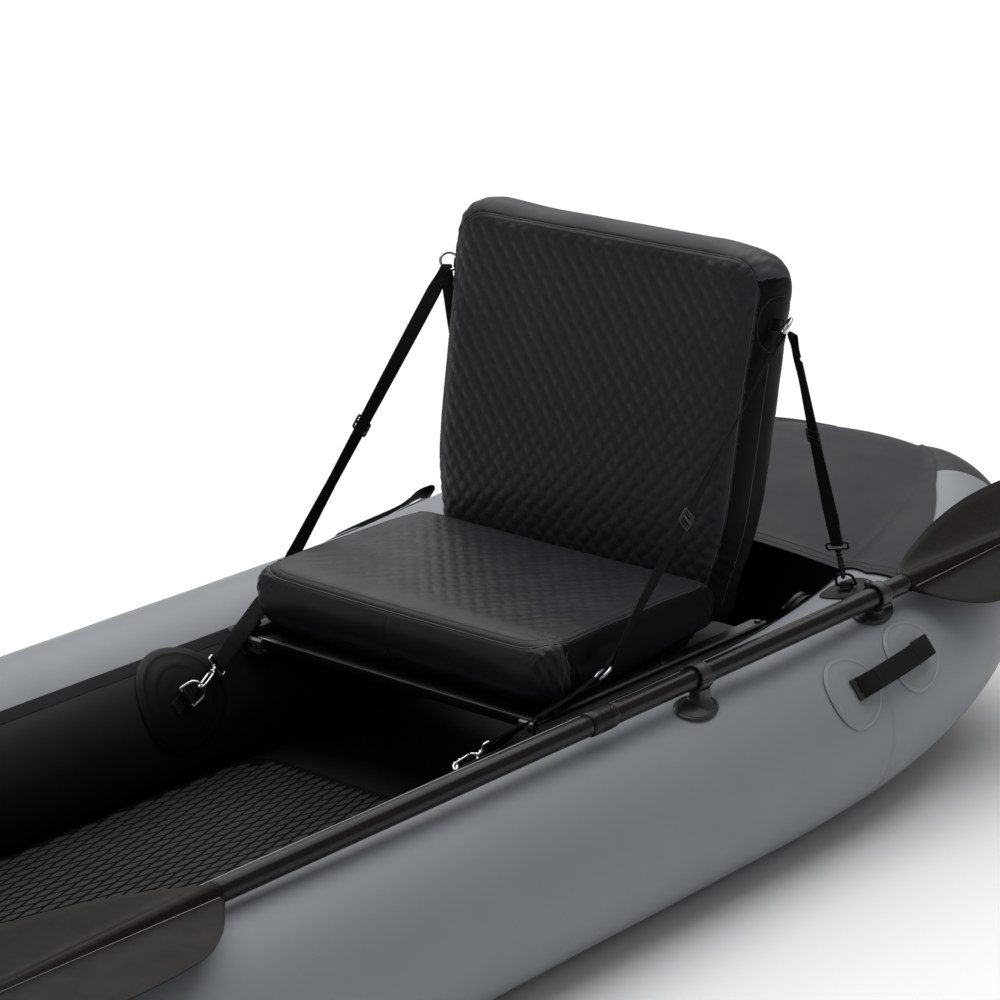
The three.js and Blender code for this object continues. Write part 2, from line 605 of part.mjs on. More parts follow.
const turned = (a, b, k) => a.clone().lerp(b, k).normalize();
{
  // hull to ring: one strap on each side
  const mid = V(0.125, 0.848, 0.513), // line of pull through the ring
    w = V(0.86, -0.34, 0.38);
  w.addScaledVector(mid, -w.dot(mid)).normalize();
  const low = cushV.clone().addScaledVector(mid, -15.6),
    high = cushV.clone().addScaledVector(mid, 15.6);
  pair("cushion_ring", put(wireRing(13, 2), frameAt(cushV, w, mid, w.clone().cross(mid))), STEEL);
  const a = anchorSet("front", DRING_FRONT_Y, DRING_FRONT_PHI, 75, low, 30, 26, 38, STEEL);
  const pathLow = [0, 0.1, 0.2, 0.3, 0.4, 0.5, 0.75, 1].map((k) => a.end.clone().lerp(low, k)),
    start = a.across.clone().multiplyScalar(Math.sign(a.across.dot(w)));
  pair("front_strap_lower", strap(pathLow, [0, 0.12, 0.36, 0.64, 0.88, 1, 1, 1].map((k) => turned(start, w, k)), WEB_W, WEB_T), WEBBING);
  // ring to backrest, turning on the way so that it meets both rings flat
  const rb = RINGB,
    top = ringV.clone().addScaledVector(rb.y, -15.6),
    flatW = V(0, -0.67, 0.74),
    path = [0, 0.08, 0.3, 0.5, 0.7, 0.9, 1].map((k) => high.clone().lerp(top, k)),
    across = [w, turned(w, flatW, 0.7), flatW, turned(flatW, rb.x, 0.25), turned(flatW, rb.x, 0.6), rb.x, rb.x];
  const p = high.clone().lerp(top, 0.435);
  pair("front_strap_upper", join(strap(path, across, WEB_UP_W, WEB_T), slider(p, top.clone().sub(high), turned(flatW, rb.x, 0.15), WEB_UP_W)), WEBBING);
  anchors.ring_low = low.toArray();
  anchors.ring_high = high.toArray();
  anchors.ring_top = top.toArray();
}
{
  const rb = RINGB,
    top = ringV.clone().addScaledVector(rb.back, 15.6);
  const a = anchorSet("rear", DRING_REAR_Y, DRING_REAR_PHI, 38, top, 26, 20, 62, BLACK_METAL);
  const path = [0, 0.15, 0.4, 0.7, 1].map((k) => a.end.clone().lerp(top, k));
  const p = a.end.clone().lerp(top, 0.52);
  pair("rear_strap", join(strap(path, path.map((_, i) => turned(a.across, rb.x, Math.min(1, i / 3))), WEB_UP_W, WEB_T), slider(p, top.clone().sub(a.end), turned(a.across, rb.x, 0.8), WEB_UP_W)), WEBBING);
  anchors.ring_rear = top.toArray();
}

// ---- paddle: two halves that meet in a ferrule ---------------------------------------------------
const shaftDir = SHAFT_AT(1).sub(SHAFT_AT(0)).normalize();
const shaftY = (y, dy = 0) => SHAFT_AT(y).addScaledVector(shaftDir, dy);
const rotated = (deg) => {
  // blade's cross direction: inboard edge up by deg
  const a = THREE.MathUtils.degToRad(deg),
    w = V(-Math.cos(a), 0, Math.sin(a));
  return w.addScaledVector(shaftDir, -w.dot(shaftDir)).normalize();
};
function shaftRing(y, r, n = 16) {
  const x = rotated(0),
    z = shaftDir.clone().cross(x).normalize();
  return Array.from({ length: n }, (_, j) => {
    const a = (j / n) * 2 * Math.PI;
    return SHAFT_AT(y).addScaledVector(x, r * Math.cos(a)).addScaledVector(z, r * Math.sin(a));
  });
}
const cylinderAlong = (y0, y1, r) => loft([shaftRing(y0, r), shaftRing(y1, r)]);
function blade(y0, dir, tilt) {
  // [distance from the root, inboard half-width, outboard half-width]
  const rows = [[0, 13, 15], [18, 24, 34], [50, 38, 63], [95, 52, 86], [160, 68, 95], [240, 81, 97], [320, 87, 96], [385, 86, 90], [430, 76, 76], [455, 58, 52], [BLADE_LEN, 26, 18]];
  const w = rotated(tilt),
    n = shaftDir.clone().cross(w).normalize();
  const ring = ([s, a, b]) => {
    const c = SHAFT_AT(y0).addScaledVector(shaftDir, dir * s),
      spine = lerp(SHAFT_R, 2.6, Math.min(1, s / 430)) + 0.4,
      cup = 7 * Math.sin(Math.PI * Math.min(1, s / BLADE_LEN));
    const P = (h, k) => c.clone().addScaledVector(w, h).addScaledVector(n, k);
    const e = 1.7;
    return [P(a, e + cup), P(lerp(spine, a, 0.5), e + 0.6 + cup * 0.4), P(spine, e + 1), P(spine * 0.7, spine * 0.75), P(0, spine), P(-spine * 0.7, spine * 0.75), P(-spine, e + 1), P(-lerp(spine, b, 0.5), e + 0.6 + cup * 0.4), P(-b, e + cup), P(-b, -e + cup), P(-lerp(spine, b, 0.5), -e + cup * 0.4), P(-spine, -e), P(-spine * 0.6, -spine * 0.8), P(spine * 0.6, -spine * 0.8), P(spine, -e), P(lerp(spine, a, 0.5), -e + cup * 0.4), P(a, -e + cup)];
  };
  return loft(rows.map(ring));
}
add("paddle_rear_shaft", cylinderAlong(FERRULE_Y + 24, PADDLE_Y[1] - BLADE_LEN - 0.4, SHAFT_R), SHAFT);
add("paddle_front_shaft", cylinderAlong(PADDLE_Y[0] + BLADE_LEN + 0.4, FERRULE_Y - 24, SHAFT_R), SHAFT);
add("paddle_ferrule", loft([-23.6, -21, 21, 23.6].map((d) => shaftRing(FERRULE_Y + d, Math.abs(d) > 22 ? 14 : 15.6))), PLASTIC);
add("paddle_rear_blade", blade(PADDLE_Y[1] - BLADE_LEN, 1, BLADE_TILT), BLADE);
add("paddle_front_blade", blade(PADDLE_Y[0] + BLADE_LEN, -1, BLADE_TILT - FEATHER), BLADE);

// ---- paddle clips on the port tube -----------------------------------------------------------------
CLIP_Y.forEach((y, k) => {
  const name = ["forward", "aft"][k];
  const s = SHAFT_AT(y),
    c = line(y),
    phi = THREE.MathUtils.radToDeg(Math.atan2(s.z - c.z, s.x - c.x)) + CLIP_LEAN[k];
  const foot = skin(y, phi, 0),
    up = s.clone().sub(foot).normalize(),
    along = shaftDir.clone(),
    side = along.clone().cross(up).normalize(); // to starboard or port: flipped below to face outboard
  const f = frameAt(s, side.x > 0 ? side : side.clone().negate(), along, up); // x outboard, y along the shaft, z off the skin
  const gap = s.distanceTo(foot);
  const ringPts = (r0, r1, a0, a1, n) => {
    const o = [];
    for (let i = 0; i <= n; i++) {
      const a = THREE.MathUtils.degToRad(lerp(a0, a1, i / n));
      o.push([r1 * Math.cos(a), r1 * Math.sin(a)]);
    }
    for (let i = n; i >= 0; i--) {
      const a = THREE.MathUtils.degToRad(lerp(a0, a1, i / n));
      o.push([r0 * Math.cos(a), r0 * Math.sin(a)]);
    }
    return o;
  };
  const LY = (a, b, d) => V(a, d, b);
  const cradle = prism(ringPts(SHAFT_R + 0.6, SHAFT_R + 5, 190, 350, 12), -12, 12, LY);
  const post = box(-11, 11, -11, 11, -gap + 3.2, -SHAFT_R - 2.5);
  // the post's foot is cut parallel to the skin
  const n0 = normalAt(y, phi),
    outward = side.x > 0 ? side : side.clone().negate(),
    pa = post.attributes.position;
  for (let i = 0; i < pa.count; i++) if (pa.getZ(i) < -SHAFT_R - 3) pa.setZ(i, -gap + (3.3 - n0.dot(outward) * pa.getX(i)) / n0.dot(up));
  const ear = box(SHAFT_R + 1.6, SHAFT_R + 5.2, -12, 12, -9, -4.4);
  const padDisc = (() => {
    const n = 20,
      perDeg = (TUBE_R * Math.PI) / 180,
      ring = (off, q) => Array.from({ length: n }, (_, j) => {
        const a = (j / n) * 2 * Math.PI;
        return skin(y + CLIP_PAD[k] + 29 * q * Math.cos(a), phi + (21 * q * Math.sin(a)) / perDeg, off);
      });
    return loft([ring(1.2, 0.5), ring(1.2, 1), ring(3.6, 0.96), ring(5.2, 0.5)], [skin(y + CLIP_PAD[k], phi, 1.2), skin(y + CLIP_PAD[k], phi, 5.4)]);
  })();
  add(name + "_clip_base", join(padDisc, put(cradle, f), put(post, f), put(ear, f)), PLASTIC);
  // the keeper over the shaft: hinged outboard, with a ball to pull at its inboard end
  const arc = prism(ringPts(SHAFT_R + 0.7, SHAFT_R + 4.7, -4, 182, 14), -10, 10, LY);
  const ball = new THREE.SphereGeometry(5.2, 10, 8).translate(-(SHAFT_R + 5.5), 0, 6);
  add(name + "_clip_keeper", join(put(arc, f), put(ball, f)), PLASTIC);
  anchors[name + "_keeper_pivot"] = frameVec(f, SHAFT_R + 4.2, 0, -2.4).toArray();
  anchors[name + "_keeper_axis"] = along.toArray();
});

// ---- side carry handles -----------------------------------------------------------------------------
{
  const [y0, y1] = HANDLE_Y;
  const spots = [[y0, 8], [y0 + 14, 15], [y0 + 34, 18], [y0 + 85, 19], [y1 - 40, 19], [y1 - 10, 18.5], [y1 - 1, 14], [y1 - 6, 9.4], [y1 - 22, 8]];
  const path = spots.map(([y, off]) => skin(y, HANDLE_PHI, off));
  const w = normalAt(944, HANDLE_PHI).cross(alongAt(944, HANDLE_PHI));
  const g = strap(path, w, HANDLE_W, 2.2);
  pair("side_handle", g, WEBBING);
  anchors.handle_pivot = skin(944, HANDLE_PHI, 8).toArray();
  anchors.handle_a = path[0].toArray();
  anchors.handle_b = path[path.length - 1].toArray();
  anchors.handle_axis = path[path.length - 1].clone().sub(path[0]).normalize().toArray();
}

// ---- inflation valves: a body screwed into each chamber, and a quarter-turn cap ----------------------
{
  const lathe = (pts, n = 20) => new THREE.LatheGeometry(pts.map(([r, z]) => new THREE.Vector2(r, z)), n).rotateX(Math.PI / 2);
  const bodyShape = lathe([[0, -28], [22, -28], [22, 1.6], [29, 1.6], [29, 3.6], [24, 5], [24, 9], [0, 9]].map(([r, z]) => [r, z]));
  const cap = join(lathe([[0, 9.4], [26.5, 9.4], [26.5, 13.5], [24.5, 15], [0, 15]]), box(-18, 18, -3, 3, 14.6, 18.5));
  add("tube_valve_port", put(bodyShape, valveFrame), PLASTIC);
  add("tube_valve_starboard", mirror(put(bodyShape, valveFrame)), PLASTIC);
  add("tube_valve_cap_port", put(cap, valveFrame), PLASTIC);
  add("tube_valve_cap_starboard", mirror(put(cap, valveFrame)), PLASTIC);
  const ff = floorValveFrame;
  add("floor_valve", put(bodyShape, ff), PLASTIC);
  add("floor_valve_cap", put(cap, ff), PLASTIC);
  anchors.valve_pos = frameVec(valveFrame, 0, 0, 9).toArray();
  anchors.valve_axis = V(0, 0, 1).transformDirection(valveFrame).toArray();
  anchors.floor_valve_pos = frameVec(ff, 0, 0, 9).toArray();
  anchors.floor_valve_axis = V(0, 0, 1).transformDirection(ff).toArray();
}

// the paddle's blade reaches out past the port tube: the group is moved so that the whole lies evenly about the origin
const whole = new THREE.Box3().setFromObject(root);
root.position.x = -(whole.min.x + whole.max.x) / 2;
anchors.shift = root.position.x;

anchors.crease = [0, ...CREASE];
anchors.shaft_dir = shaftDir.toArray();
anchors.shaft_mid = SHAFT_AT(FERRULE_Y).toArray();
anchors.ring_back = RING_BACK;
anchors.ring_cushion = RING_CUSHION;
root.userData = { anchors: { ...anchors, ...anchors0 } };

export default root;
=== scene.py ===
# Inflatable sit-in fishing kayak: the looks around the fixed frame.
# Shapes are written in millimetres, symmetric about x = 0, and moved into the frame when each mesh is made.
import math

import bpy
import numpy as np
from mathutils import Matrix, Vector
from mathutils.bvhtree import BVHTree


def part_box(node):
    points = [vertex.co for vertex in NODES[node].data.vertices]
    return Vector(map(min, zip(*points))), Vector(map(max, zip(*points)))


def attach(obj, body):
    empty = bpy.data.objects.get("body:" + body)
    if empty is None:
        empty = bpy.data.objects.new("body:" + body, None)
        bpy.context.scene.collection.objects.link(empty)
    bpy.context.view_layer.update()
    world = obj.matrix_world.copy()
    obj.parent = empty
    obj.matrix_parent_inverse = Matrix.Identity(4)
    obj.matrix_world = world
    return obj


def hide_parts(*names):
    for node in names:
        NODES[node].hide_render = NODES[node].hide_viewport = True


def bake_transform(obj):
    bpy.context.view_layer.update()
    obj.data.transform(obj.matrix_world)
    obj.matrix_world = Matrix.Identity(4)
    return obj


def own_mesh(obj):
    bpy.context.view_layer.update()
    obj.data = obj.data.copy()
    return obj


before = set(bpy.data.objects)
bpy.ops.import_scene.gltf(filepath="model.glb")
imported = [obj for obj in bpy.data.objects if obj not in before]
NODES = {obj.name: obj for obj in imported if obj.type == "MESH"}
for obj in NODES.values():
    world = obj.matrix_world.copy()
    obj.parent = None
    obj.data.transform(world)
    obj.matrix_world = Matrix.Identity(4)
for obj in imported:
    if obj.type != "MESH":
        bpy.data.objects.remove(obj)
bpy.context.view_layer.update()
_lo, _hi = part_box("bench_board")
SHIFT = np.array([(_lo.x + _hi.x) * 500.0, 0.0, 0.0])

# ---- dimensions shared with the frame ---------------------------------------------------------
TUBE_X, TUBE_R, SIDES = 354.0, 130.0, 24
TUBE_Z = TUBE_R * math.cos(math.pi / SIDES)
SKIN_R = 129.4  # the round skin lies between the flats and the corners of the frame's tube
HALF_STRAIGHT, CURVE, TIP_X, RISE = 739.0, 888.0, 46.0, 134.0
PLAN_POWER, RISE_POWER, TAPER_POWER, TAPER = 3.42, 1.85, 6.2, 0.82
FLOOR_Z0, FLOOR_TOP, FLOOR_HALF, FLOOR_END = 9.0, 68.0, 234.0, 1120.0
BENCH_Y0, BENCH_Y1, BENCH_HALF, BENCH_TOP, BENCH_T = 480.0, 921.0, 240.0, 228.0, 12.0
SEAT_Y = 479.0
CREASE = np.array([0.0, SEAT_Y + 360.0, BENCH_TOP + 91.0])
LEAN = math.radians(9.5)
UP = np.array([0.0, math.sin(LEAN), math.cos(LEAN)])
OUT = np.array([0.0, math.cos(LEAN), -math.sin(LEAN)])
RING_BACK = np.array([288.0, SEAT_Y + 445.6, BENCH_TOP + 424.5])
RING_CUSHION = np.array([279.0, SEAT_Y + 79.0, BENCH_TOP + 50.0])
SHAFT_R = 13.5
CONE_T = 0.80

X, Y, Z = np.eye(3)


def unit(v):
    v = np.asarray(v, float)
    return v / np.maximum(np.linalg.norm(v, axis=-1, keepdims=True), 1e-12)


def lerp(a, b, t):
    return a + (b - a) * t


def ramp(x, a, b):
    t = np.clip((np.asarray(x, float) - a) / (b - a), 0, 1)
    return t * t * (3 - 2 * t)


def line(y):
    y = np.asarray(y, float)
    t = np.maximum(0.0, (np.abs(y) - HALF_STRAIGHT) / CURVE)
    s = np.where(y < 0, -1.0, 1.0)
    return (
        t,
        TUBE_X - (TUBE_X - TIP_X) * t**PLAN_POWER,
        TUBE_Z + RISE * t**RISE_POWER,
        TUBE_R * (1 - TAPER * np.minimum(t, 1.0) ** TAPER_POWER),
        -s * (TUBE_X - TIP_X) * PLAN_POWER * t ** (PLAN_POWER - 1) / CURVE,
    )


def skin(y, phi, off=0.0):
    y, phi, off = np.broadcast_arrays(np.asarray(y, float), np.asarray(phi, float), np.asarray(off, float))
    t, x, z, r, slope = line(y)
    n = np.hypot(1, slope)
    a = np.radians(phi)
    R = r + off
    return np.stack([x + R * np.cos(a) / n, y - R * np.cos(a) * slope / n, z + R * np.sin(a)], -1)


def normal_at(y, phi):
    return unit(skin(y, phi, 10) - skin(y, phi, 0))


def along_at(y, phi):
    return unit(skin(np.asarray(y) + 5, phi) - skin(np.asarray(y) - 5, phi))


def at(t):
    return HALF_STRAIGHT + CURVE * t


def shaft_at(y):
    return np.array([368 + 0.018 * (y + 671), y, 273 + 0.01135 * (y + 671)])


SHAFT_DIR = unit(shaft_at(1) - shaft_at(0))


class Frame:
    """Origin and three directions; maps local millimetres to the kayak's."""

    def __init__(self, o, x, y, z):
        self.o, self.m = np.asarray(o, float), np.array([x, y, z], float)

    def __call__(self, *p):
        p = np.asarray(p if len(p) > 1 else p[0], float)
        return self.o + p @ self.m


def skin_frame(y, phi, off=0.0):
    z = normal_at(y, phi)
    x = along_at(y, phi)
    x = unit(x - z * (x @ z))
    return Frame(skin(y, phi, off), x, np.cross(z, x), z)


# ---- mesh building -----------------------------------------------------------------------------
class Build:
    def __init__(self):
        self.v, self.f, self.m, self.uv, self.n = [], [], [], [], 0

    def add(self, pts, faces, mat=0, uv=None, orient=True):
        """A closed shell. Faces are turned outward whichever way they were listed."""
        pts = np.asarray(pts, float).reshape(-1, 3)
        faces = [np.asarray(f, int) for f in faces]
        mats = np.full(len(faces), mat) if np.isscalar(mat) else np.asarray(mat)
        if orient:
            vol = 0.0
            groups = {}
            for f in faces:
                groups.setdefault(len(f), []).append(f)
            for k, fs in groups.items():
                fs = np.array(fs)
                a = pts[fs[:, 0]]
                for j in range(1, k - 1):
                    vol += np.einsum("ij,ij->", a, np.cross(pts[fs[:, j]], pts[fs[:, j + 1]]))
            if vol < 0:
                faces = [f[::-1] for f in faces]
        self.v.append(pts)
        self.uv.append(np.zeros((len(pts), 2)) if uv is None else np.asarray(uv, float).reshape(-1, 2))
        self.f += [(f + self.n).tolist() for f in faces]
        self.m += mats.tolist()
        self.n += len(pts)
        return self

    def mirrored(self):
        b = Build()
        b.v = [p * [-1, 1, 1] for p in self.v]
        b.f = [f[::-1] for f in self.f]
        b.m, b.uv, b.n = list(self.m), list(self.uv), self.n
        return b


def grid_faces(m, n, wrap=False):
    out = []
    for i in range(m - 1):
        for j in range(n if wrap else n - 1):
            k = (j + 1) % n
            out.append((i * n + j, i * n + k, (i + 1) * n + k, (i + 1) * n + j))
    return out


def loft(b, rings, mat=0, uv=None, caps=True, face_mat=None):
    """A body through rings of equal point count, closed by flat ends."""
    rings = np.asarray(rings, float)
    m, n = rings.shape[:2]
    faces = grid_faces(m, n, True)
    mats = list(face_mat) if face_mat is not None else [mat] * len(faces)
    if caps:
        faces += [tuple(range(n))[::-1], tuple((m - 1) * n + j for j in range(n))]
        mats += [mat, mat]
    return b.add(rings, faces, mats, uv)


def sheet(b, top, bottom, mat=0, uv=None, face_mat=None):
    top, bottom = np.asarray(top, float), np.asarray(bottom, float)
    m, n = top.shape[:2]
    up = grid_faces(m, n)
    low = [tuple(q + m * n for q in f[::-1]) for f in up]
    rim = [(0, j) for j in range(n)] + [(i, n - 1) for i in range(1, m)] + [(m - 1, j) for j in range(n - 2, -1, -1)] + [(i, 0) for i in range(m - 2, 0, -1)]
    idx = [i * n + j for i, j in rim]
    side = [(idx[k], idx[k] + m * n, idx[(k + 1) % len(idx)] + m * n, idx[(k + 1) % len(idx)]) for k in range(len(idx))]
    side = [f[::-1] for f in side]
    mats = (list(face_mat) if face_mat is not None else [mat] * len(up)) * 2 + [mat] * len(side)
    u = None if uv is None else np.concatenate([np.asarray(uv).reshape(-1, 2)] * 2)
    # the rim's winding must agree with the grid's
    a, c = up[0][0], up[0][1]
    has = any((f[k], f[(k + 1) % 4]) == (a, c) for f in side for k in range(4))
    if has:
        side = [f[::-1] for f in side]
    return b.add(np.concatenate([top.reshape(-1, 3), bottom.reshape(-1, 3)]), up + low + side, mats, u)


def tangents(p, closed=False):
    p = np.asarray(p, float)
    if closed:
        return unit(np.roll(p, -1, 0) - np.roll(p, 1, 0))
    t = np.empty_like(p)
    t[1:-1] = p[2:] - p[:-2]
    t[0], t[-1] = p[1] - p[0], p[-1] - p[-2]
    return unit(t)


def side_vectors(t, ref):
    if ref is not None:
        ref = np.broadcast_to(np.asarray(ref, float), t.shape)
        return unit(ref - t * np.sum(ref * t, -1, keepdims=True))
    s = np.empty_like(t)
    a = np.array([0.0, 0.0, 1.0]) if abs(t[0][2]) < 0.9 else np.array([1.0, 0.0, 0.0])
    s[0] = unit(a - t[0] * (a @ t[0]))
    for i in range(1, len(t)):
        v = s[i - 1] - t[i] * (s[i - 1] @ t[i])
        s[i] = unit(v)
    return s


def sweep(b, path, r, n=12, closed=False, mat=0, ref=None, flat=1.0, ends=True):
    """A round or oval bar along a path. r may vary; flat scales the section off the reference direction."""
    p = np.asarray(path, float)
    r = np.broadcast_to(np.asarray(r, float), (len(p),))
    t = tangents(p, closed)
    s = side_vectors(t, ref)
    u = np.cross(t, s)
    a = np.arange(n) / n * 2 * np.pi
    ring = lambda c, k, i: c + k * r[i] * (np.cos(a)[:, None] * s[i] + flat * np.sin(a)[:, None] * u[i])
    if closed:
        rings = np.array([ring(p[i], 1, i) for i in range(len(p))])
        m = len(p)
        faces = [((i * n + j), (i * n + (j + 1) % n), ((i + 1) % m * n + (j + 1) % n), ((i + 1) % m * n + j)) for i in range(m) for j in range(n)]
        return b.add(rings, faces, mat)
    rows = [ring(p[i], 1, i) for i in range(len(p))]
    if ends:
        h = min(1.0, flat)
        pre = [ring(p[0] - t[0] * r[0] * h * d, k, 0) for k, d in ((0.35, 0.94), (0.72, 0.7), (0.93, 0.37))]
        post = [ring(p[-1] + t[-1] * r[-1] * h * d, k, -1) for k, d in ((0.93, 0.37), (0.72, 0.7), (0.35, 0.94))]
        rows = pre + rows + post
    return loft(b, np.array(rows), mat)


def ribbon(b, path, across, width, thick, mat=0, start=0.0):
    """Flat webbing with rounded edges; u runs along it and v across it, in metres."""
    p = np.asarray(path, float)
    width = np.broadcast_to(np.asarray(width, float), (len(p),))
    t = tangents(p)
    w = side_vectors(t, across)
    n = np.cross(w, t)
    d = np.concatenate([[0], np.cumsum(np.linalg.norm(np.diff(p, axis=0), axis=1))]) + start
    ht = thick / 2
    top = [(-1, 1), (-0.6, 1), (-0.2, 1), (0.2, 1), (0.6, 1), (1, 1)]
    rings, uv = [], []
    for i in range(len(p)):
        hw = width[i] / 2 - ht
        sec = [(s * hw, ht) for s, _ in top] + [(hw + 0.7 * ht, 0.7 * ht), (hw + ht, 0), (hw + 0.7 * ht, -0.7 * ht)]
        sec += [(-s * hw, -ht) for s, _ in top] + [(-hw - 0.7 * ht, -0.7 * ht), (-hw - ht, 0), (-hw - 0.7 * ht, 0.7 * ht)]
        sec = np.array(sec)
        rings.append(p[i] + sec[:, :1] * w[i] + sec[:, 1:] * n[i])
        uv += [(d[i] / 1000, s / 1000) for s in sec[:, 0]]
    return loft(b, np.array(rings), mat, uv)


def lathe(b, profile, fr, n=32, mat=0):
    """profile: (radius, height) pairs from the axis to the axis, turned about the frame's z."""
    a = np.arange(n) / n * 2 * np.pi
    rings = []
    for r, z in profile:
        r = max(r, 0.02)
        rings.append(fr(np.stack([r * np.cos(a), r * np.sin(a), np.full(n, z)], -1)))
    return loft(b, np.array(rings), mat)


def prism(b, outline, d0, d1, place, mat=0):
    o = list(outline)
    rings = [np.array([place(a, c, d) for a, c in o]) for d in (d0, d1)]
    return loft(b, np.array(rings), mat)


def boxed(b, fr, lo, hi, mat=0, r=0.6):
    """A block with softened edges in the frame's axes."""
    (x0, y0, z0), (x1, y1, z1) = lo, hi
    r = min(r, (x1 - x0) / 2.01, (y1 - y0) / 2.01, (z1 - z0) / 2.01)

    def ring(i, z):
        pts = []
        q = r - i
        for cx, cy, a0 in ((x1 - r, y1 - r, 0), (x0 + r, y1 - r, 90), (x0 + r, y0 + r, 180), (x1 - r, y0 + r, 270)):
            for k in range(4):
                a = math.radians(a0 + k * 30)
                pts.append((cx + q * math.cos(a), cy + q * math.sin(a), z))
        return fr(np.array(pts))

    rows = [ring(r * 0.9, z0), ring(r * 0.3, z0 + r * 0.3), ring(0, z0 + r), ring(0, z1 - r), ring(r * 0.3, z1 - r * 0.3), ring(r * 0.9, z1)]
    return loft(b, np.array(rows), mat)


def spline(pts, n, closed=False):
    """Evenly spaced points on a smooth curve through the given ones."""
    p = np.asarray(pts, float)
    if closed:
        p = np.concatenate([p[-2:], p, p[:3]])
    else:
        p = np.concatenate([[2 * p[0] - p[1]], p, [2 * p[-1] - p[-2]]])
    out = []
    last = len(p) - 2 if not closed else len(p) - 3
    first = 1 if not closed else 2
    for i in range(first, last):
        a, c, d, e = p[i - 1], p[i], p[i + 1], p[i + 2]
        for s in np.linspace(0, 1, 24, endpoint=False):
            out.append(0.5 * (2 * c + (d - a) * s + (2 * a - 5 * c + 4 * d - e) * s**2 + (3 * c - 3 * d + e - a) * s**3))
    out.append(p[last])
    out = np.array(out)
    d = np.concatenate([[0], np.cumsum(np.linalg.norm(np.diff(out, axis=0), axis=1))])
    s = np.linspace(0, d[-1], n + (1 if closed else 0))
    res = np.stack([np.interp(s, d, out[:, k]) for k in range(out.shape[1])], -1)
    return res[:-1] if closed else res


def dash(b, p0, p1, n, r=0.35, mat=0):
    """One visible stitch of thread."""
    p0, p1 = np.asarray(p0, float), np.asarray(p1, float)
    mid = (p0 + p1) / 2 + n * r * 0.7
    return sweep(b, [p0, lerp(p0, mid, 0.6) + n * r * 0.3, mid, lerp(p1, mid, 0.6) + n * r * 0.3, p1], r, 6, mat=mat)


def stitches(b, pts, normals, length=3.2, gap=1.6, r=0.35, mat=0):
    """A row of stitches along a polyline that lies on a surface."""
    pts, normals = np.asarray(pts, float), np.asarray(normals, float)
    d = np.concatenate([[0], np.cumsum(np.linalg.norm(np.diff(pts, axis=0), axis=1))])
    pos = lambda s: np.array([np.interp(s, d, pts[:, k]) for k in range(3)])
    nor = lambda s: unit(np.array([np.interp(s, d, normals[:, k]) for k in range(3)]))
    s = 0.5
    while s + length < d[-1]:
        dash(b, pos(s), pos(s + length), nor(s + length / 2), r, mat)
        s += length + gap
    return b


# ---- materials ---------------------------------------------------------------------------------
def lin(rgb):
    c = np.asarray(rgb, float) / 255
    return tuple(np.where(c <= 0.04045, c / 12.92, ((c + 0.055) / 1.055) ** 2.4))


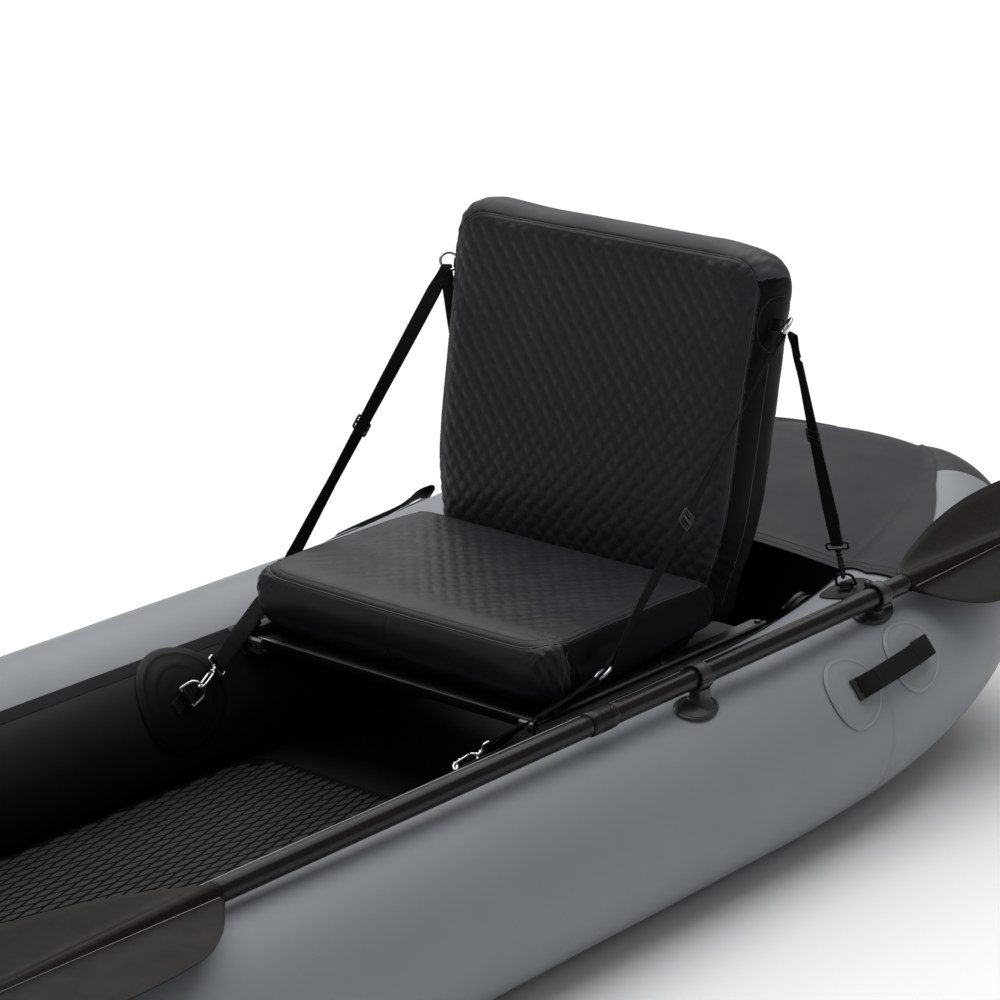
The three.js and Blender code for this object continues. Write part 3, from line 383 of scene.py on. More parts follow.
def material(name, rgb, rough, metal=0.0, spread=0.12, patch=5.0, fine=900.0, fine_depth=0.00004, waves=0.0, rough_spread=0.06, specular=0.5, coat=0.0, coat_rough=0.2, sheen=0.0, weave=None, brushed=False, tint=None):
    m = bpy.data.materials.new(name)
    m.use_nodes = True
    nt = m.node_tree
    N, L = nt.nodes, nt.links
    bsdf = N["Principled BSDF"]
    col = lin(rgb)
    bsdf.inputs["Metallic"].default_value = metal
    bsdf.inputs["Specular IOR Level"].default_value = specular
    bsdf.inputs["Coat Weight"].default_value = coat
    bsdf.inputs["Coat Roughness"].default_value = coat_rough
    bsdf.inputs["Sheen Weight"].default_value = sheen
    bsdf.inputs["Sheen Roughness"].default_value = 0.45
    tc = N.new("ShaderNodeTexCoord")
    pos = tc.outputs["Object"]

    def noise(scale, detail=3.0, rough_=0.55, vec=pos):
        t = N.new("ShaderNodeTexNoise")
        t.inputs["Scale"].default_value = scale
        t.inputs["Detail"].default_value = detail
        t.inputs["Roughness"].default_value = rough_
        L.new(vec, t.inputs["Vector"])
        return t.outputs["Fac"]

    def mapped(v, a, b, lo=0.3, hi=0.7):
        t = N.new("ShaderNodeMapRange")
        t.inputs["From Min"].default_value, t.inputs["From Max"].default_value = lo, hi
        t.inputs["To Min"].default_value, t.inputs["To Max"].default_value = a, b
        L.new(v, t.inputs["Value"])
        return t.outputs["Result"]

    def math_(op, a, b=None):
        t = N.new("ShaderNodeMath")
        t.operation = op
        for k, v in enumerate((a, b)):
            if v is None:
                continue
            if isinstance(v, (int, float)):
                t.inputs[k].default_value = v
            else:
                L.new(v, t.inputs[k])
        return t.outputs[0]

    def mix(fac, a, b):
        t = N.new("ShaderNodeMix")
        t.data_type = "RGBA"
        L.new(fac, t.inputs["Factor"])
        for key, v in ((6, a), (7, b)):
            if isinstance(v, tuple):
                t.inputs[key].default_value = (*v, 1)
            else:
                L.new(v, t.inputs[key])
        return t.outputs[2]

    dark = tuple(c * (1 - spread) for c in col)
    light = tuple(min(1, c * (1 + spread)) for c in col)
    base = mix(mapped(noise(patch), 0, 1), dark, light)
    second = tuple(c * (1 - spread * 0.5) for c in (lin(tint) if tint else col))
    base = mix(mapped(noise(patch * 14, 4), 0, 0.45), base, second)
    height = None
    if weave:
        uv = N.new("ShaderNodeUVMap")
        uv.uv_map = "UVMap"
        sep = N.new("ShaderNodeSeparateXYZ")
        L.new(uv.outputs["UV"], sep.inputs[0])
        u = math_("DIVIDE", sep.outputs[0], weave[0])
        v = math_("DIVIDE", sep.outputs[1], weave[1])
        col_ = math_("FLOOR", v)
        ph = math_("MULTIPLY", math_("ADD", u, math_("MULTIPLY", col_, 0.5)), 2 * math.pi)
        rib = math_("SINE", math_("MULTIPLY", math_("FRACT", v), math.pi))
        yarn = math_("MULTIPLY", math_("ADD", math_("MULTIPLY", math_("SINE", ph), 0.5), 0.5), rib)
        base = mix(mapped(yarn, 0, 1, 0.0, 1.0), tuple(c * 0.45 for c in col), tuple(min(1, c * 1.5) for c in col))
        height = (yarn, weave[2])
    L.new(base, bsdf.inputs["Base Color"])
    L.new(mapped(noise(patch * 3, 4), rough - rough_spread, rough + rough_spread), bsdf.inputs["Roughness"])
    last = None

    def bump(h, distance, strength=1.0):
        nonlocal last
        t = N.new("ShaderNodeBump")
        t.inputs["Distance"].default_value = distance
        t.inputs["Strength"].default_value = strength
        L.new(h, t.inputs["Height"])
        if last is not None:
            L.new(last, t.inputs["Normal"])
        last = t.outputs["Normal"]

    if waves:
        bump(noise(9.0, 2), waves)
    if fine_depth:
        if brushed:
            mp = N.new("ShaderNodeMapping")
            mp.inputs["Scale"].default_value = brushed
            L.new(pos, mp.inputs["Vector"])
            bump(noise(1.0, 2, vec=mp.outputs["Vector"]), fine_depth)
        else:
            bump(noise(fine, 2), fine_depth)
    if height:
        bump(height[0], height[1])
    if last is not None:
        L.new(last, bsdf.inputs["Normal"])
    return m


PVC = material("tube_skin_grey", (129, 134, 140), 0.46, spread=0.05, patch=2.2, fine=1400, fine_depth=0.00005, waves=0.0012, specular=0.3)
PVC_IN = material("tube_skin_black", (16, 15, 19), 0.55, spread=0.2, fine=1200, fine_depth=0.00006, waves=0.0012, specular=0.35)
TAPE = material("seam_tape", (26, 25, 29), 0.5, spread=0.12, fine=1200, specular=0.1)
CONE = material("cone_dark", (43, 42, 48), 0.5, spread=0.08, fine=1200, waves=0.001, specular=0.16)
DECK = material("deck_fabric", (44, 43, 49), 0.55, spread=0.08, patch=3, fine=1500, fine_depth=0.00007, waves=0.002, specular=0.12)
FLOOR_M = material("floor_skin", (15, 15, 17), 0.6, spread=0.2, specular=0.35)
MAT_M = material("mat_foam", (47, 47, 46), 0.82, spread=0.16, patch=9, fine=1600, fine_depth=0.00012, specular=0.2)
MAT_B = material("mat_base", (11, 11, 11), 0.88, spread=0.2, patch=9, fine=1400, fine_depth=0.0001, specular=0.12)
BOARD_M = material("bench_board", (10, 9, 12), 0.55, spread=0.25, fine=2200, fine_depth=0.00007, specular=0.2)
TRIM_M = material("strip_black", (11, 10, 13), 0.5, 0.3, spread=0.15, fine_depth=0.00003, brushed=(3, 900, 900), specular=0.25)
ALU_M = material("brushed_strip", (128, 130, 134), 0.34, 0.9, spread=0.1, fine_depth=0.00003, brushed=(3, 900, 900))
VINYL = material("seat_cover", (38, 37, 42), 0.44, spread=0.1, patch=7, fine=1300, fine_depth=0.00006, specular=0.24)
# a darker copy of the seat vinyl: painted shade on the side panels of the cushion and backrest, which face away from
# the light; it is also the dark colour of the backrest's ring tabs
VINYL_DARK_AND_SIDE_SHADE = material("seat_side", (16, 15, 17), 0.46, spread=0.14, patch=8, fine=1500, fine_depth=0.00006, specular=0.07)
# a lighter copy of the seat vinyl: painted light on the backrest's top band, which faces the light
VINYL_TOP_LIT = material("seat_band_painted_light", (58, 57, 62), 0.5, spread=0.08, patch=6, fine=1300, fine_depth=0.00006, specular=0.2)
WEB = material("webbing", (19, 19, 19), 0.78, spread=0.15, fine=3000, fine_depth=0.00005, specular=0.15, weave=(0.0021, 0.0016, 0.00035))
THREAD = material("thread", (30, 30, 32), 0.6, spread=0.1, specular=0.4)
# lighter than the seat vinyl: the welts over the seams carry a painted highlight
PIPING_HIGHLIGHT = material("seam_piping_highlight", (58, 57, 61), 0.35, spread=0.1, specular=0.5)
STEEL = material("bright_wire", (200, 202, 206), 0.2, 1.0, spread=0.06, fine=600, fine_depth=0.00002, rough_spread=0.08)
BLACK_METAL = material("black_metal", (26, 26, 27), 0.34, 0.6, spread=0.2, fine=900, fine_depth=0.00003)
PLASTIC = material("black_plastic", (30, 30, 32), 0.42, spread=0.12, patch=20, fine=1500, fine_depth=0.00004, specular=0.5)
SHAFT = material("shaft_gloss", (22, 18, 17), 0.26, spread=0.16, patch=12, fine_depth=0.00002, brushed=(500, 12, 500), specular=0.18)
BLADE = material("blade_gloss", (19, 16, 14), 0.34, spread=0.18, patch=9, fine=900, fine_depth=0.00003, specular=0.06, tint=(36, 27, 22))
# the thin light line along the blade's spine is a painted highlight
BLADE_RIDGE_HIGHLIGHT = material("blade_ridge_highlight", (96, 91, 87), 0.25, spread=0.1, fine_depth=0.00002, brushed=(500, 12, 500), specular=0.6)
PATCH_B = material("patch_black", (14, 13, 16), 0.5, spread=0.15, fine=1300, fine_depth=0.00005, specular=0.2)
PATCH = material("handle_patch", (126, 131, 136), 0.5, spread=0.06, fine=1300, fine_depth=0.00005)

SLOT = {
    "tube_skin_grey": "tube_grey", "tube_skin_black": "tube_grey", "cone_dark": "fabric_dark", "seam_tape": "fabric_dark",
    "deck_fabric": "fabric_dark", "floor_skin": "floor_black", "mat_foam": "mat_foam", "bench_board": "board_black",
    "brushed_strip": "strip_metal", "seat_cover": "seat_vinyl", "seat_side": "seat_vinyl", "webbing": "webbing", "thread": "webbing",
    "seam_piping_highlight": "seat_vinyl", "bright_wire": "wire_steel", "black_metal": "hook_black", "black_plastic": "plastic_black",
    "shaft_gloss": "shaft_brown", "mat_base": "mat_foam", "strip_black": "strip_metal", "blade_ridge_highlight": "blade_brown", "patch_black": "fabric_dark", "blade_gloss": "blade_brown", "handle_patch": "tube_grey",
}


def to_mesh(name, b, mats, angle=38):
    me = bpy.data.meshes.new(name)
    v = (np.concatenate(b.v) + SHIFT) / 1000
    me.from_pydata(v.tolist(), [], b.f)
    uv = np.concatenate(b.uv)
    if np.any(uv):
        layer = me.uv_layers.new(name="UVMap")
        idx = np.empty(len(me.loops), int)
        me.loops.foreach_get("vertex_index", idx)
        layer.data.foreach_set("uv", uv[idx].astype(np.float32).ravel())
    for m in mats:
        me.materials.append(m)
    me.polygons.foreach_set("material_index", np.array(b.m, np.int32))
    me.update()
    me.shade_smooth()
    me.set_sharp_from_angle(angle=math.radians(angle))
    me.validate()
    return me


def place(name, me, body, nodes=(), bevel=0.0, slot=None):
    o = bpy.data.objects.new(name, me)
    bpy.context.scene.collection.objects.link(o)
    if bevel:
        mod = o.modifiers.new("edges", "BEVEL")
        mod.width, mod.segments, mod.limit_method, mod.angle_limit = bevel / 1000, 2, "ANGLE", math.radians(40)
    if nodes:
        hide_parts(*nodes)
    slot or SLOT[me.materials[0].name.split(".")[0]]
    if body:
        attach(o, body)
    return o


def make(name, b, mats, body, nodes=(), bevel=0.0, angle=38, slot=None):
    return place(name, to_mesh(name, b, mats, angle), body, nodes, bevel, slot)


def make_pair(stem, b, mats, body, nodes=None, bevel=0.0, angle=38, slot=None):
    """The piece and its mirror image on the other side. body may hold {} for the side's name."""
    out = []
    for side, bb in (("port", b), ("starboard", b.mirrored())):
        ns = [f"{n}_{side}" for n in (nodes if nodes is not None else [stem])]
        out.append(make(f"{stem}_{side}_v", bb, mats, body.format(side) if body else None, ns, bevel, angle, slot))
    return out

# ---- side tubes ------------------------------------------------------------------------------------
def tube_pair():
    phis = np.concatenate([np.arange(-70, 124, 3.2), [124, 124.3, 128, 131.7, 132], np.arange(135, 288, 4.0)])
    n = len(phis)
    ts = np.concatenate([[0.0], np.linspace(0.012, 0.19, 14), [0.1945, 0.1955], np.linspace(0.205, 0.70, 50), np.linspace(0.705, 0.796, 12), [0.7992, 0.8008], np.linspace(0.806, 1.0, 34)])
    straight = np.linspace(-HALF_STRAIGHT, HALF_STRAIGHT, 112)[1:-1]
    # rows: (station, t of the row, sign)
    rows = [(-t, -1) for t in ts[::-1]] + [(s, 0) for s in straight] + [(t, 1) for t in ts]
    rad = np.radians(phis)
    R, uv = [], []
    cap = [math.radians(a) for a in (12, 24, 36, 48, 60, 71, 81, 88)]

    def ring(y, k=1.0, push=0.0, off=0.0):
        t, x, z, r, slope = line(y)
        nn, s = np.hypot(1, slope), np.sign(y)
        rr = (r + off) * k
        p = np.stack([x + rr * np.cos(rad) / nn, y - rr * np.cos(rad) * slope / nn, z + rr * np.sin(rad)], -1)
        return p + np.stack([s * push * slope / nn, s * push / nn, 0 * nn], -1)

    base = SKIN_R - TUBE_R
    tape = np.where((phis > 124.1) & (phis < 131.9), 0.5, 0.0)
    skew = -0.03 * np.maximum(0, -np.cos(rad))
    end = at(1.0)
    r_end = float(line(end)[3])
    front, back = [], []
    for a in cap:
        front.insert(0, ring(np.full(n, -end), math.cos(a), 0.93 * math.sin(a) * r_end, base + 0.9))
        back.append(ring(np.full(n, end), math.cos(a), 0.93 * math.sin(a) * r_end, base + 0.9))
    body, kinds = [], []
    for s, sign in rows:
        if sign == 0:
            y = np.full(n, s)
            t = np.zeros(n)
        else:
            tt = abs(s)
            t = tt + skew * np.maximum(0, 1 - np.abs(tt - CONE_T) / 0.11)
            y = sign * at(t)
        wob = 0.22 * np.sin(y / 97 + 1.3 * np.sin(rad * 2)) * np.sin(rad * 3 + y / 240) + 0.12 * np.sin(y / 41 + rad * 4)
        off = base + wob * ramp(1 - t, 0.02, 0.2) + tape * (t < 0.8)
        off = off + (0.45 if (sign != 0 and abs(s) > 0.195) else 0.0)
        off = off + (0.75 if (sign != 0 and abs(s) > CONE_T) else 0.0)
        body.append(ring(y, off=off))
        kinds.append(sign != 0 and abs(s) > CONE_T - 0.0004)
    rings = np.array(front + body + back)
    rings[..., 2] = np.maximum(rings[..., 2], 0.02)
    m = len(rings)
    nf = len(front)
    faces, mats = [], []
    for i in range(m - 1):
        cone = i < nf or i >= nf + len(body) - 1 or (kinds[i - nf] and kinds[i - nf + 1])
        for j in range(n):
            k = (j + 1) % n
            faces.append((i * n + j, i * n + k, (i + 1) * n + k, (i + 1) * n + j))
            mid = phis[j] + (1.0 if j == n - 1 else (phis[k] - phis[j]) / 2)
            mats.append(2 if cone else (3 if 124 < mid < 132 else (1 if 132 <= mid < 289 else 0)))
    faces += [tuple(range(n))[::-1], tuple((m - 1) * n + j for j in range(n))]
    mats += [2, 2]
    b = Build()
    b.add(rings, faces, mats)
    for side, bb in (("port", b), ("starboard", b.mirrored())):
        make(f"{side}_tube_v", bb, [PVC, PVC_IN, CONE, TAPE], "hull", [f"{side}_tube"], angle=30)


def floor_lift(y):
    t, x, z, r, s = line(y)
    return z - r - (TUBE_Z - TUBE_R)


def floor_and_bottom():
    ys = np.concatenate([[-1120, -1118, -1114], np.linspace(-1105, 1105, 90), [1114, 1118, 1120]])
    rings = []
    for i, y in enumerate(ys):
        up, hw = float(floor_lift(y)), FLOOR_HALF * float(line(y)[1]) / TUBE_X
        ins = {0: 6.0, 1: 2.4, 2: 0.6}.get(min(i, len(ys) - 1 - i), 0.0)
        z0, z1 = FLOOR_Z0 + up + ins * 0.6, FLOOR_TOP + up - ins * 0.6
        hw -= ins
        right = []
        for a in np.linspace(-90, 0, 9):
            right.append((hw - 12 + 12 * math.cos(math.radians(a)), z0 + 24 + 24 * math.sin(math.radians(a))))
        for a in np.linspace(0, 90, 8):
            right.append((hw - 9 + 9 * math.cos(math.radians(a)), z1 - 14 + 14 * math.sin(math.radians(a))))
        # the upper edge is wrapped by a strip a little proud of the drop-stitch panel
        top = [(hw - 22, z1), (hw - 24, z1 - 0.5), (hw * 0.5, z1 - 0.5)]
        half = right + top
        sec = [(x, z) for x, z in half] + [(-x, z) for x, z in half[::-1]]
        rings.append([(x, y, z) for x, z in sec])
    b = Build()
    loft(b, np.array(rings))
    make("floor_panel_v", b, [FLOOR_M], "hull", ["floor_panel"], angle=50)
    ts = np.concatenate([np.linspace(0, 0.93, 44)])
    ys = np.concatenate([[-at(t) for t in ts[::-1]], np.linspace(-HALF_STRAIGHT, HALF_STRAIGHT, 31)[1:-1], [at(t) for t in ts]])

    def row(y, off):
        # the last stretch follows the straight rows of the frame
        a = [skin(y, p, off) for p in (254, 253.0, 251.5, 250.2, 249.5)]
        q = line(y)
        c = np.array([min(a[-1][0] - 8, 236 * float(q[1]) / TUBE_X), y, 7.9 - off + float(floor_lift(y))])
        a += [lerp(a[-1], c, 0.5), c, c * [0.66, 1, 1], c * [0.33, 1, 1]]
        return a + [p * [-1, 1, 1] for p in a[::-1]]

    b = Build()
    sheet(b, np.array([row(y, 0.8) for y in ys]), np.array([row(y, 2.2) for y in ys]))
    make("bottom_skin_v", b, [DECK], "hull", ["bottom_skin"], angle=50)


def mat_piece():
    """A thin foam sheet with raised lozenge pads."""
    half, y0, y1, c = 228.0, -690.0, 459.0, 45.0
    b = Build()

    def outline(ins):
        o = []
        for sx, sy, a0 in ((1, 1, 0), (-1, 1, 90), (-1, -1, 180), (1, -1, 270)):
            for k in range(9):
                a = math.radians(a0 + k * 11.25)
                o.append((sx * (half - c) + (c - ins) * math.cos(a), (y1 - c if sy > 0 else y0 + c) + (c - ins) * math.sin(a)))
        return o

    rings = [[(x, y, z) for x, y in outline(i)] for i, z in ((0.4, 68.35), (0.2, 68.8), (0.2, 70.3), (0.9, 70.9))]
    loft(b, np.array(rings), 1)
    px, py, hx, hy = 14.3, 24.6, 5.75, 19.6
    pts, faces = [], []
    rows = int((y1 - y0) / (py)) * 2 + 4
    for r in range(rows):
        cy = y0 - 10 + r * py
        if cy > y1 + 20:
            break
        for q in range(-18, 19):
            cx = (q + (0.5 if r % 2 else 0.0)) * px
            corners = [(cx + hx, cy), (cx, cy + hy), (cx - hx, cy), (cx, cy - hy)]

            def inside(x, y):
                dx, dy = max(0, abs(x) - (half - c)), max(0, y - (y1 - c), (y0 + c) - y)
                return math.hypot(dx, dy) < c - 4.5

            if not all(inside(x, y) for x, y in corners):
                continue
            k = len(pts)
            for f, z in ((1.0, 70.6), (0.95, 72.5), (0.78, 72.98)):
                # cut corners keep the pads from ending in needles
                ring = []
                for (ax, ay) in corners:
                    ring.append((cx + (ax - cx) * f, cy + (ay - cy) * f, z))
                full = []
                for i in range(4):
                    p, q2 = np.array(ring[i]), np.array(ring[(i + 1) % 4])
                    full += [lerp(p, q2, 0.10), lerp(p, q2, 0.90)]
                pts += [tuple(p) for p in full]
            n = 8
            for lvl in (0, 1):
                for j in range(n):
                    faces.append((k + lvl * n + j, k + lvl * n + (j + 1) % n, k + (lvl + 1) * n + (j + 1) % n, k + (lvl + 1) * n + j))
            faces.append(tuple(k + 2 * n + j for j in range(n)))
            faces.append(tuple(k + j for j in range(n))[::-1])
    b.add(np.array(pts), faces)
    make("floor_mat_v", b, [MAT_M, MAT_B], "hull", ["floor_mat"], angle=50)


def deck(s, name):
    """Taut fabric over both tubes. Its front edge comes forward over each tube and is hemmed."""
    ks = np.linspace(0, 1, 30)
    fs = np.concatenate([[0, 0.0035, 0.012, 0.030, 0.042, 0.046], np.linspace(0.062, 1, 62)])
    cross = np.linspace(1, -1, 34)[1:-1]
    tops, lows, mats, uvs = [], [], [], []
    for f in fs:
        phi0 = 76 + 56 * ks
        t0 = lerp(0.392, 0.4595, np.maximum(0, (phi0 - 100) / 32))
        t = lerp(t0, 0.965, f**0.9)
        outer = lerp(76, 97, np.clip((t - 0.392) / 0.35, 0, 1))
        inner = lerp(132, 104, np.clip((t - 0.4595) / 0.36, 0, 1))
        phi = lerp(outer, inner, ks)
        hem = 0.75 if f < 0.044 else 0.0
        edge = 0.5 * ramp(1 - ks, 0.86, 0.9)  # the welded strip along the outer edge
        cone = 0.75 * ramp(t, 0.797, 0.803)
        for store, off in ((tops, 2.75 + hem + edge + cone * 1.7), (lows, 1.65 + 0 * ks)):
            port = skin(s * at(t), phi, off)
            a = port[-1]
            q = cross
            rise = 14 * (1 - q**2) * min(1, a[0] / 200)
            # eases the fold where the fabric leaves the tube
            mid = np.stack([a[0] * q, np.full_like(q, a[1]), a[2] + rise], -1)
            store.append(np.concatenate([port, mid, (port * [-1, 1, 1])[::-1]]))
    tops, lows = np.array(tops), np.array(lows)
    b = Build()
    sheet(b, tops, lows, 0)
    # two rows of stitching along the hem
    T = tops
    nrm = np.cross(T[2:, 1:-1] - T[:-2, 1:-1], T[1:-1, 2:] - T[1:-1, :-2])
    nrm = unit(nrm) * np.sign(nrm[..., 2:3])
    for row in (2, 3):
        stitches(b, T[row, 1:-1], nrm[row - 1], 3.4, 1.8, 0.4, 1)
    make(name + "_v", b, [DECK, THREAD], "hull", [name], angle=42)


# ---- bench -------------------------------------------------------------------------------------
def bench():
    b = Build()
    boxed(b, Frame((0, 0, 0), X, Y, Z), (-BENCH_HALF + 0.2, BENCH_Y0, BENCH_TOP - BENCH_T), (BENCH_HALF - 0.2, BENCH_Y1, BENCH_TOP), r=2.6)
    make("bench_board_v", b, [BOARD_M], "hull", ["bench_board"], angle=50)
    b = Build()
    boxed(b, Frame((0, 0, 0), X, Y, Z), (-BENCH_HALF, BENCH_Y0 - 4.3, 214.2), (BENCH_HALF, BENCH_Y0 - 0.5, 227.3), r=1.2)
    boxed(b, Frame((0, 0, 0), X, Y, Z), (-BENCH_HALF, BENCH_Y0 - 5.2, 226.2), (BENCH_HALF, BENCH_Y0 + 1.5, 228.9), 1, 0.8)
    make("bench_front_trim_v", b, [TRIM_M, ALU_M], "hull", ["bench_front_trim"], angle=40)
    # rails
    bx, bz = 253.5, 233.5
    b = Build()
    rows = []
    for y in np.concatenate([[458, 459.5], np.linspace(465, 936, 60), [941.5, 943]]):
        t, x, z, r, s = (float(v) for v in line(y))
        end = y in (458.0, 943.0)
        k = 0.5 if end else 1.0
        P = lambda phi, off: np.array([x + (r + off) * math.cos(math.radians(phi)), y, z + (r + off) * math.sin(math.radians(phi))])
        lean = math.atan2(bz - z, bx - x)
        ld = math.degrees(lean)

        def Bp(a, rr):
            return np.array([bx + rr * math.cos(lean + a), y, bz + rr * math.sin(lean + a)])

        o = [P(phi, 0.62) for phi in np.linspace(124.2, 143.8, 9)]
        o += [P(143.8, 0.62 + 0.9 * k), P(140, 0.62 + 1.15 * k), P(ld + 1.6, 0.62 + 1.2 * k), P(ld + 0.5, 2.2)]
        o += [Bp(math.pi - 0.3 - kk * (2 * math.pi - 0.6) / 14, 3.75 * (0.9 if end else 1)) for kk in range(15)]
        o += [P(ld - 0.5, 2.2), P(ld - 1.6, 0.62 + 1.2 * k), P(128, 0.62 + 1.15 * k), P(124.2, 0.62 + 0.9 * k)]
        rows.append(o)
    loft(b, np.array(rows))
    make_pair("bench_rail", b, [PLASTIC], "hull", angle=40)
    # channels with their knobs
    b = Build()
    # the bore for the rail's bead, open along a slot to the lower edge
    prof = [[240.6, 213.6], [242.2, 214.5], [255.6, 228.7]]
    prof += [[bx + 4.5 * math.cos(math.radians(q)), bz + 4.5 * math.sin(math.radians(q))] for q in np.linspace(-71, -379, 13)]
    prof += [[258.4, 231.7], [261.4, 235.0], [262.4, 236.6], [262.4, 238.9], [259.9, 240.8], [243.2, 240.8], [240.6, 238.3]]
    rows = []
    for y, ins in ((485.2, 0.5), (485.7, 0), (600, 0), (713, 0), (830, 0), (928.3, 0), (928.8, 0.5)):
        c = np.mean(prof, 0)
        rows.append([(x + (c[0] - x) * 0.02 * ins, y, z + (c[1] - z) * 0.02 * ins) for x, z in prof])
    loft(b, np.array(rows))
    for y in (492, 713, 923):
        fr = Frame((255.4, y, 240.7), X, Y, Z)
        lathe(b, [(0, 0), (4.7, 0), (4.7, 1.1), (4.2, 2.2), (3.7, 3.0), (2.9, 3.35), (0.9, 3.3), (0.8, 2.7), (0, 2.7)], fr, 24)
        for k in range(8):
            a = k * math.pi / 4
            boxed(b, Frame(fr(np.array([4.1 * math.cos(a), 4.1 * math.sin(a), 1.4])), (math.cos(a), math.sin(a), 0), (-math.sin(a), math.cos(a), 0), Z), (-0.5, -0.55, -1.2), (0.62, 0.55, 1.0), r=0.25)
    make_pair("bench_channel", b, [PLASTIC], "hull", angle=35)
    b = Build()
    y0 = BENCH_Y0
    out = [[y0 - 18, 211.8], [y0 - 17.4, 211.2], [y0 - 5.2, 211], [y0 - 5, 213.8], [y0 - 12.2, 214.2], [y0 - 12.9, 215], [y0 - 12.9, 230.4], [y0 - 13.4, 231], [y0 - 15.8, 231], [y0 - 17.9, 228.8]]
    prism(b, out, 222.3, 245.7, lambda a, c, d: (d, a, c))
    for x in (228, 240):
        fr = Frame((x, y0 - 18, 221), X, Z, -Y)
        lathe(b, [(0, -0.4), (3.6, -0.4), (3.6, 0.1), (3.0, 0.7), (1.4, 0.95), (1.2, 0.4), (0, 0.4)], fr, 18, 1)
    make_pair("bench_bracket", b, [ALU_M, BLACK_METAL], "hull", angle=35)


# ---- seat ----------------------------------------------------------------------------------------
def evaluated(o, name):
    dg = bpy.context.evaluated_depsgraph_get()
    me = bpy.data.meshes.new_from_object(o.evaluated_get(dg))
    me.name = name
    return me


def coords(me):
    co = np.empty(len(me.vertices) * 3, np.float64)
    buf = np.empty(len(me.vertices) * 3, np.float32)
    me.vertices.foreach_get("co", buf)
    co[:] = buf
    return co.reshape(-1, 3)


def set_coords(me, co):
    me.vertices.foreach_set("co", np.asarray(co, np.float32).ravel())
    me.update()


def normals(me):
    buf = np.empty(len(me.vertices) * 3, np.float32)
    me.vertex_normals.foreach_get("vector", buf)
    return buf.reshape(-1, 3).astype(float)


def swollen(name, b, voxel, pressure, cap, mass=0.3, bending=0.6, tension=12.0, ease=10):
    """The sewn cover over its filling: the plain closed shape is remeshed and blown up as cloth."""
    me = to_mesh(name + "_start", b, [VINYL])
    o = bpy.data.objects.new(name + "_start", me)
    bpy.context.scene.collection.objects.link(o)
    mod = o.modifiers.new("remesh", "REMESH")
    mod.mode, mod.voxel_size, mod.use_smooth_shade = "VOXEL", voxel / 1000, True
    even = evaluated(o, name + "_even")
    o.modifiers.clear()
    o.data = even
    start = coords(even)
    cl = o.modifiers.new("cloth", "CLOTH")
    st = cl.settings
    st.quality, st.mass = 5, mass
    st.tension_stiffness = st.compression_stiffness = tension
    st.shear_stiffness, st.bending_stiffness = 6.0, bending
    st.use_pressure, st.uniform_pressure_force = True, pressure
    st.effector_weights.gravity = 0.0
    cl.point_cache.frame_start, cl.point_cache.frame_end = 1, 20
    for f in range(1, 21):
        bpy.context.scene.frame_set(f)
    done = coords(evaluated(o, name + "_done"))
    o.modifiers.clear()
    bpy.context.scene.frame_set(1)
    d = done - start
    size = np.linalg.norm(d, axis=1, keepdims=True)
    co = start + d / np.maximum(size, 1e-9) * (cap / 1000) * np.tanh(size * 1000 / cap)
    set_coords(even, co)
    sm = o.modifiers.new("ease", "SMOOTH")
    sm.factor, sm.iterations = 0.5, ease
    sub = o.modifiers.new("finer", "SUBSURF")
    sub.levels = sub.render_levels = 1
    fine = evaluated(o, name)
    bpy.data.objects.remove(o)
    return fine


def eased(p, edges, weight, times):
    """Rounds a surface off where the weight says so."""
    i, j = edges[:, 0], edges[:, 1]
    deg = np.maximum(1, np.bincount(i, minlength=len(p)) + np.bincount(j, minlength=len(p)))
    q = p.copy()
    for _ in range(times):
        for k in range(3):
            m = (np.bincount(i, q[j, k], len(p)) + np.bincount(j, q[i, k], len(p))) / deg
            q[:, k] += 0.5 * weight * (m - q[:, k])
    return q


def edges_of(me):
    buf = np.empty(len(me.edges) * 2, np.int32)
    me.edges.foreach_get("vertices", buf)
    return buf.reshape(-1, 2)


def basket(a, b, pa=12.0, pb=14.5):
    """Embossed basket weave: rhombic cells whose ridges turn from cell to cell. About -.5 to .5."""
    p, q = (a / pa + b / pb) / 2, (-a / pa + b / pb) / 2
    ip, iq = np.floor(p), np.floor(q)
    fp, fq = p - ip, q - iq
    even = (ip + iq) % 2 == 0
    along, across = np.where(even, fp, fq), np.where(even, fq, fp)
    ridge = np.sin(np.pi * across) ** 0.9 * (0.45 + 0.55 * np.sin(np.pi * along) ** 0.6)
    return ridge - 0.5


def seg_dist(p, line_pts):
    """Distance of each point to a polyline."""
    best = np.full(len(p), 1e9)
    L = np.asarray(line_pts, float)
    for a, c in zip(L[:-1], L[1:]):
        d = c - a
        t = np.clip(((p - a) @ d) / max(d @ d, 1e-12), 0, 1)
        best = np.minimum(best, np.linalg.norm(p - (a + t[:, None] * d), axis=1))
    return best


def groove(p, n, line_pts, depth, width):
    d = seg_dist(p, line_pts)
    return p - n * (depth * np.exp(-((d / width) ** 2)))[:, None]


def cast(tree, pts, direction, lift=0.0):
    """Where rays from the given points first meet the surface."""
    out, nor = [], []
    d = Vector(unit(direction))
    for q in pts:
        loc, n, i, dist = tree.ray_cast(Vector((np.asarray(q) + SHIFT) / 1000), d)
        if loc is None:
            loc, n, i, dist = tree.find_nearest(Vector((np.asarray(q) + SHIFT) / 1000))
        out.append(np.array(loc) * 1000 - SHIFT + np.array(n) * lift)
        nor.append(np.array(n))
    return np.array(out), np.array(nor)


def relaxed(pts, times=2):
    """A closed line with its small wobbles taken out."""
    p = np.asarray(pts, float)
    for _ in range(times):
        p = 0.5 * p + 0.25 * (np.roll(p, 1, 0) + np.roll(p, -1, 0))
    return p


def stretch(v, lo, hi, q=0.2):
    """Moves a coordinate's range to the given one."""
    a, c = np.percentile(v, q), np.percentile(v, 100 - q)
    return lo + (v - a) * (hi - lo) / (c - a)


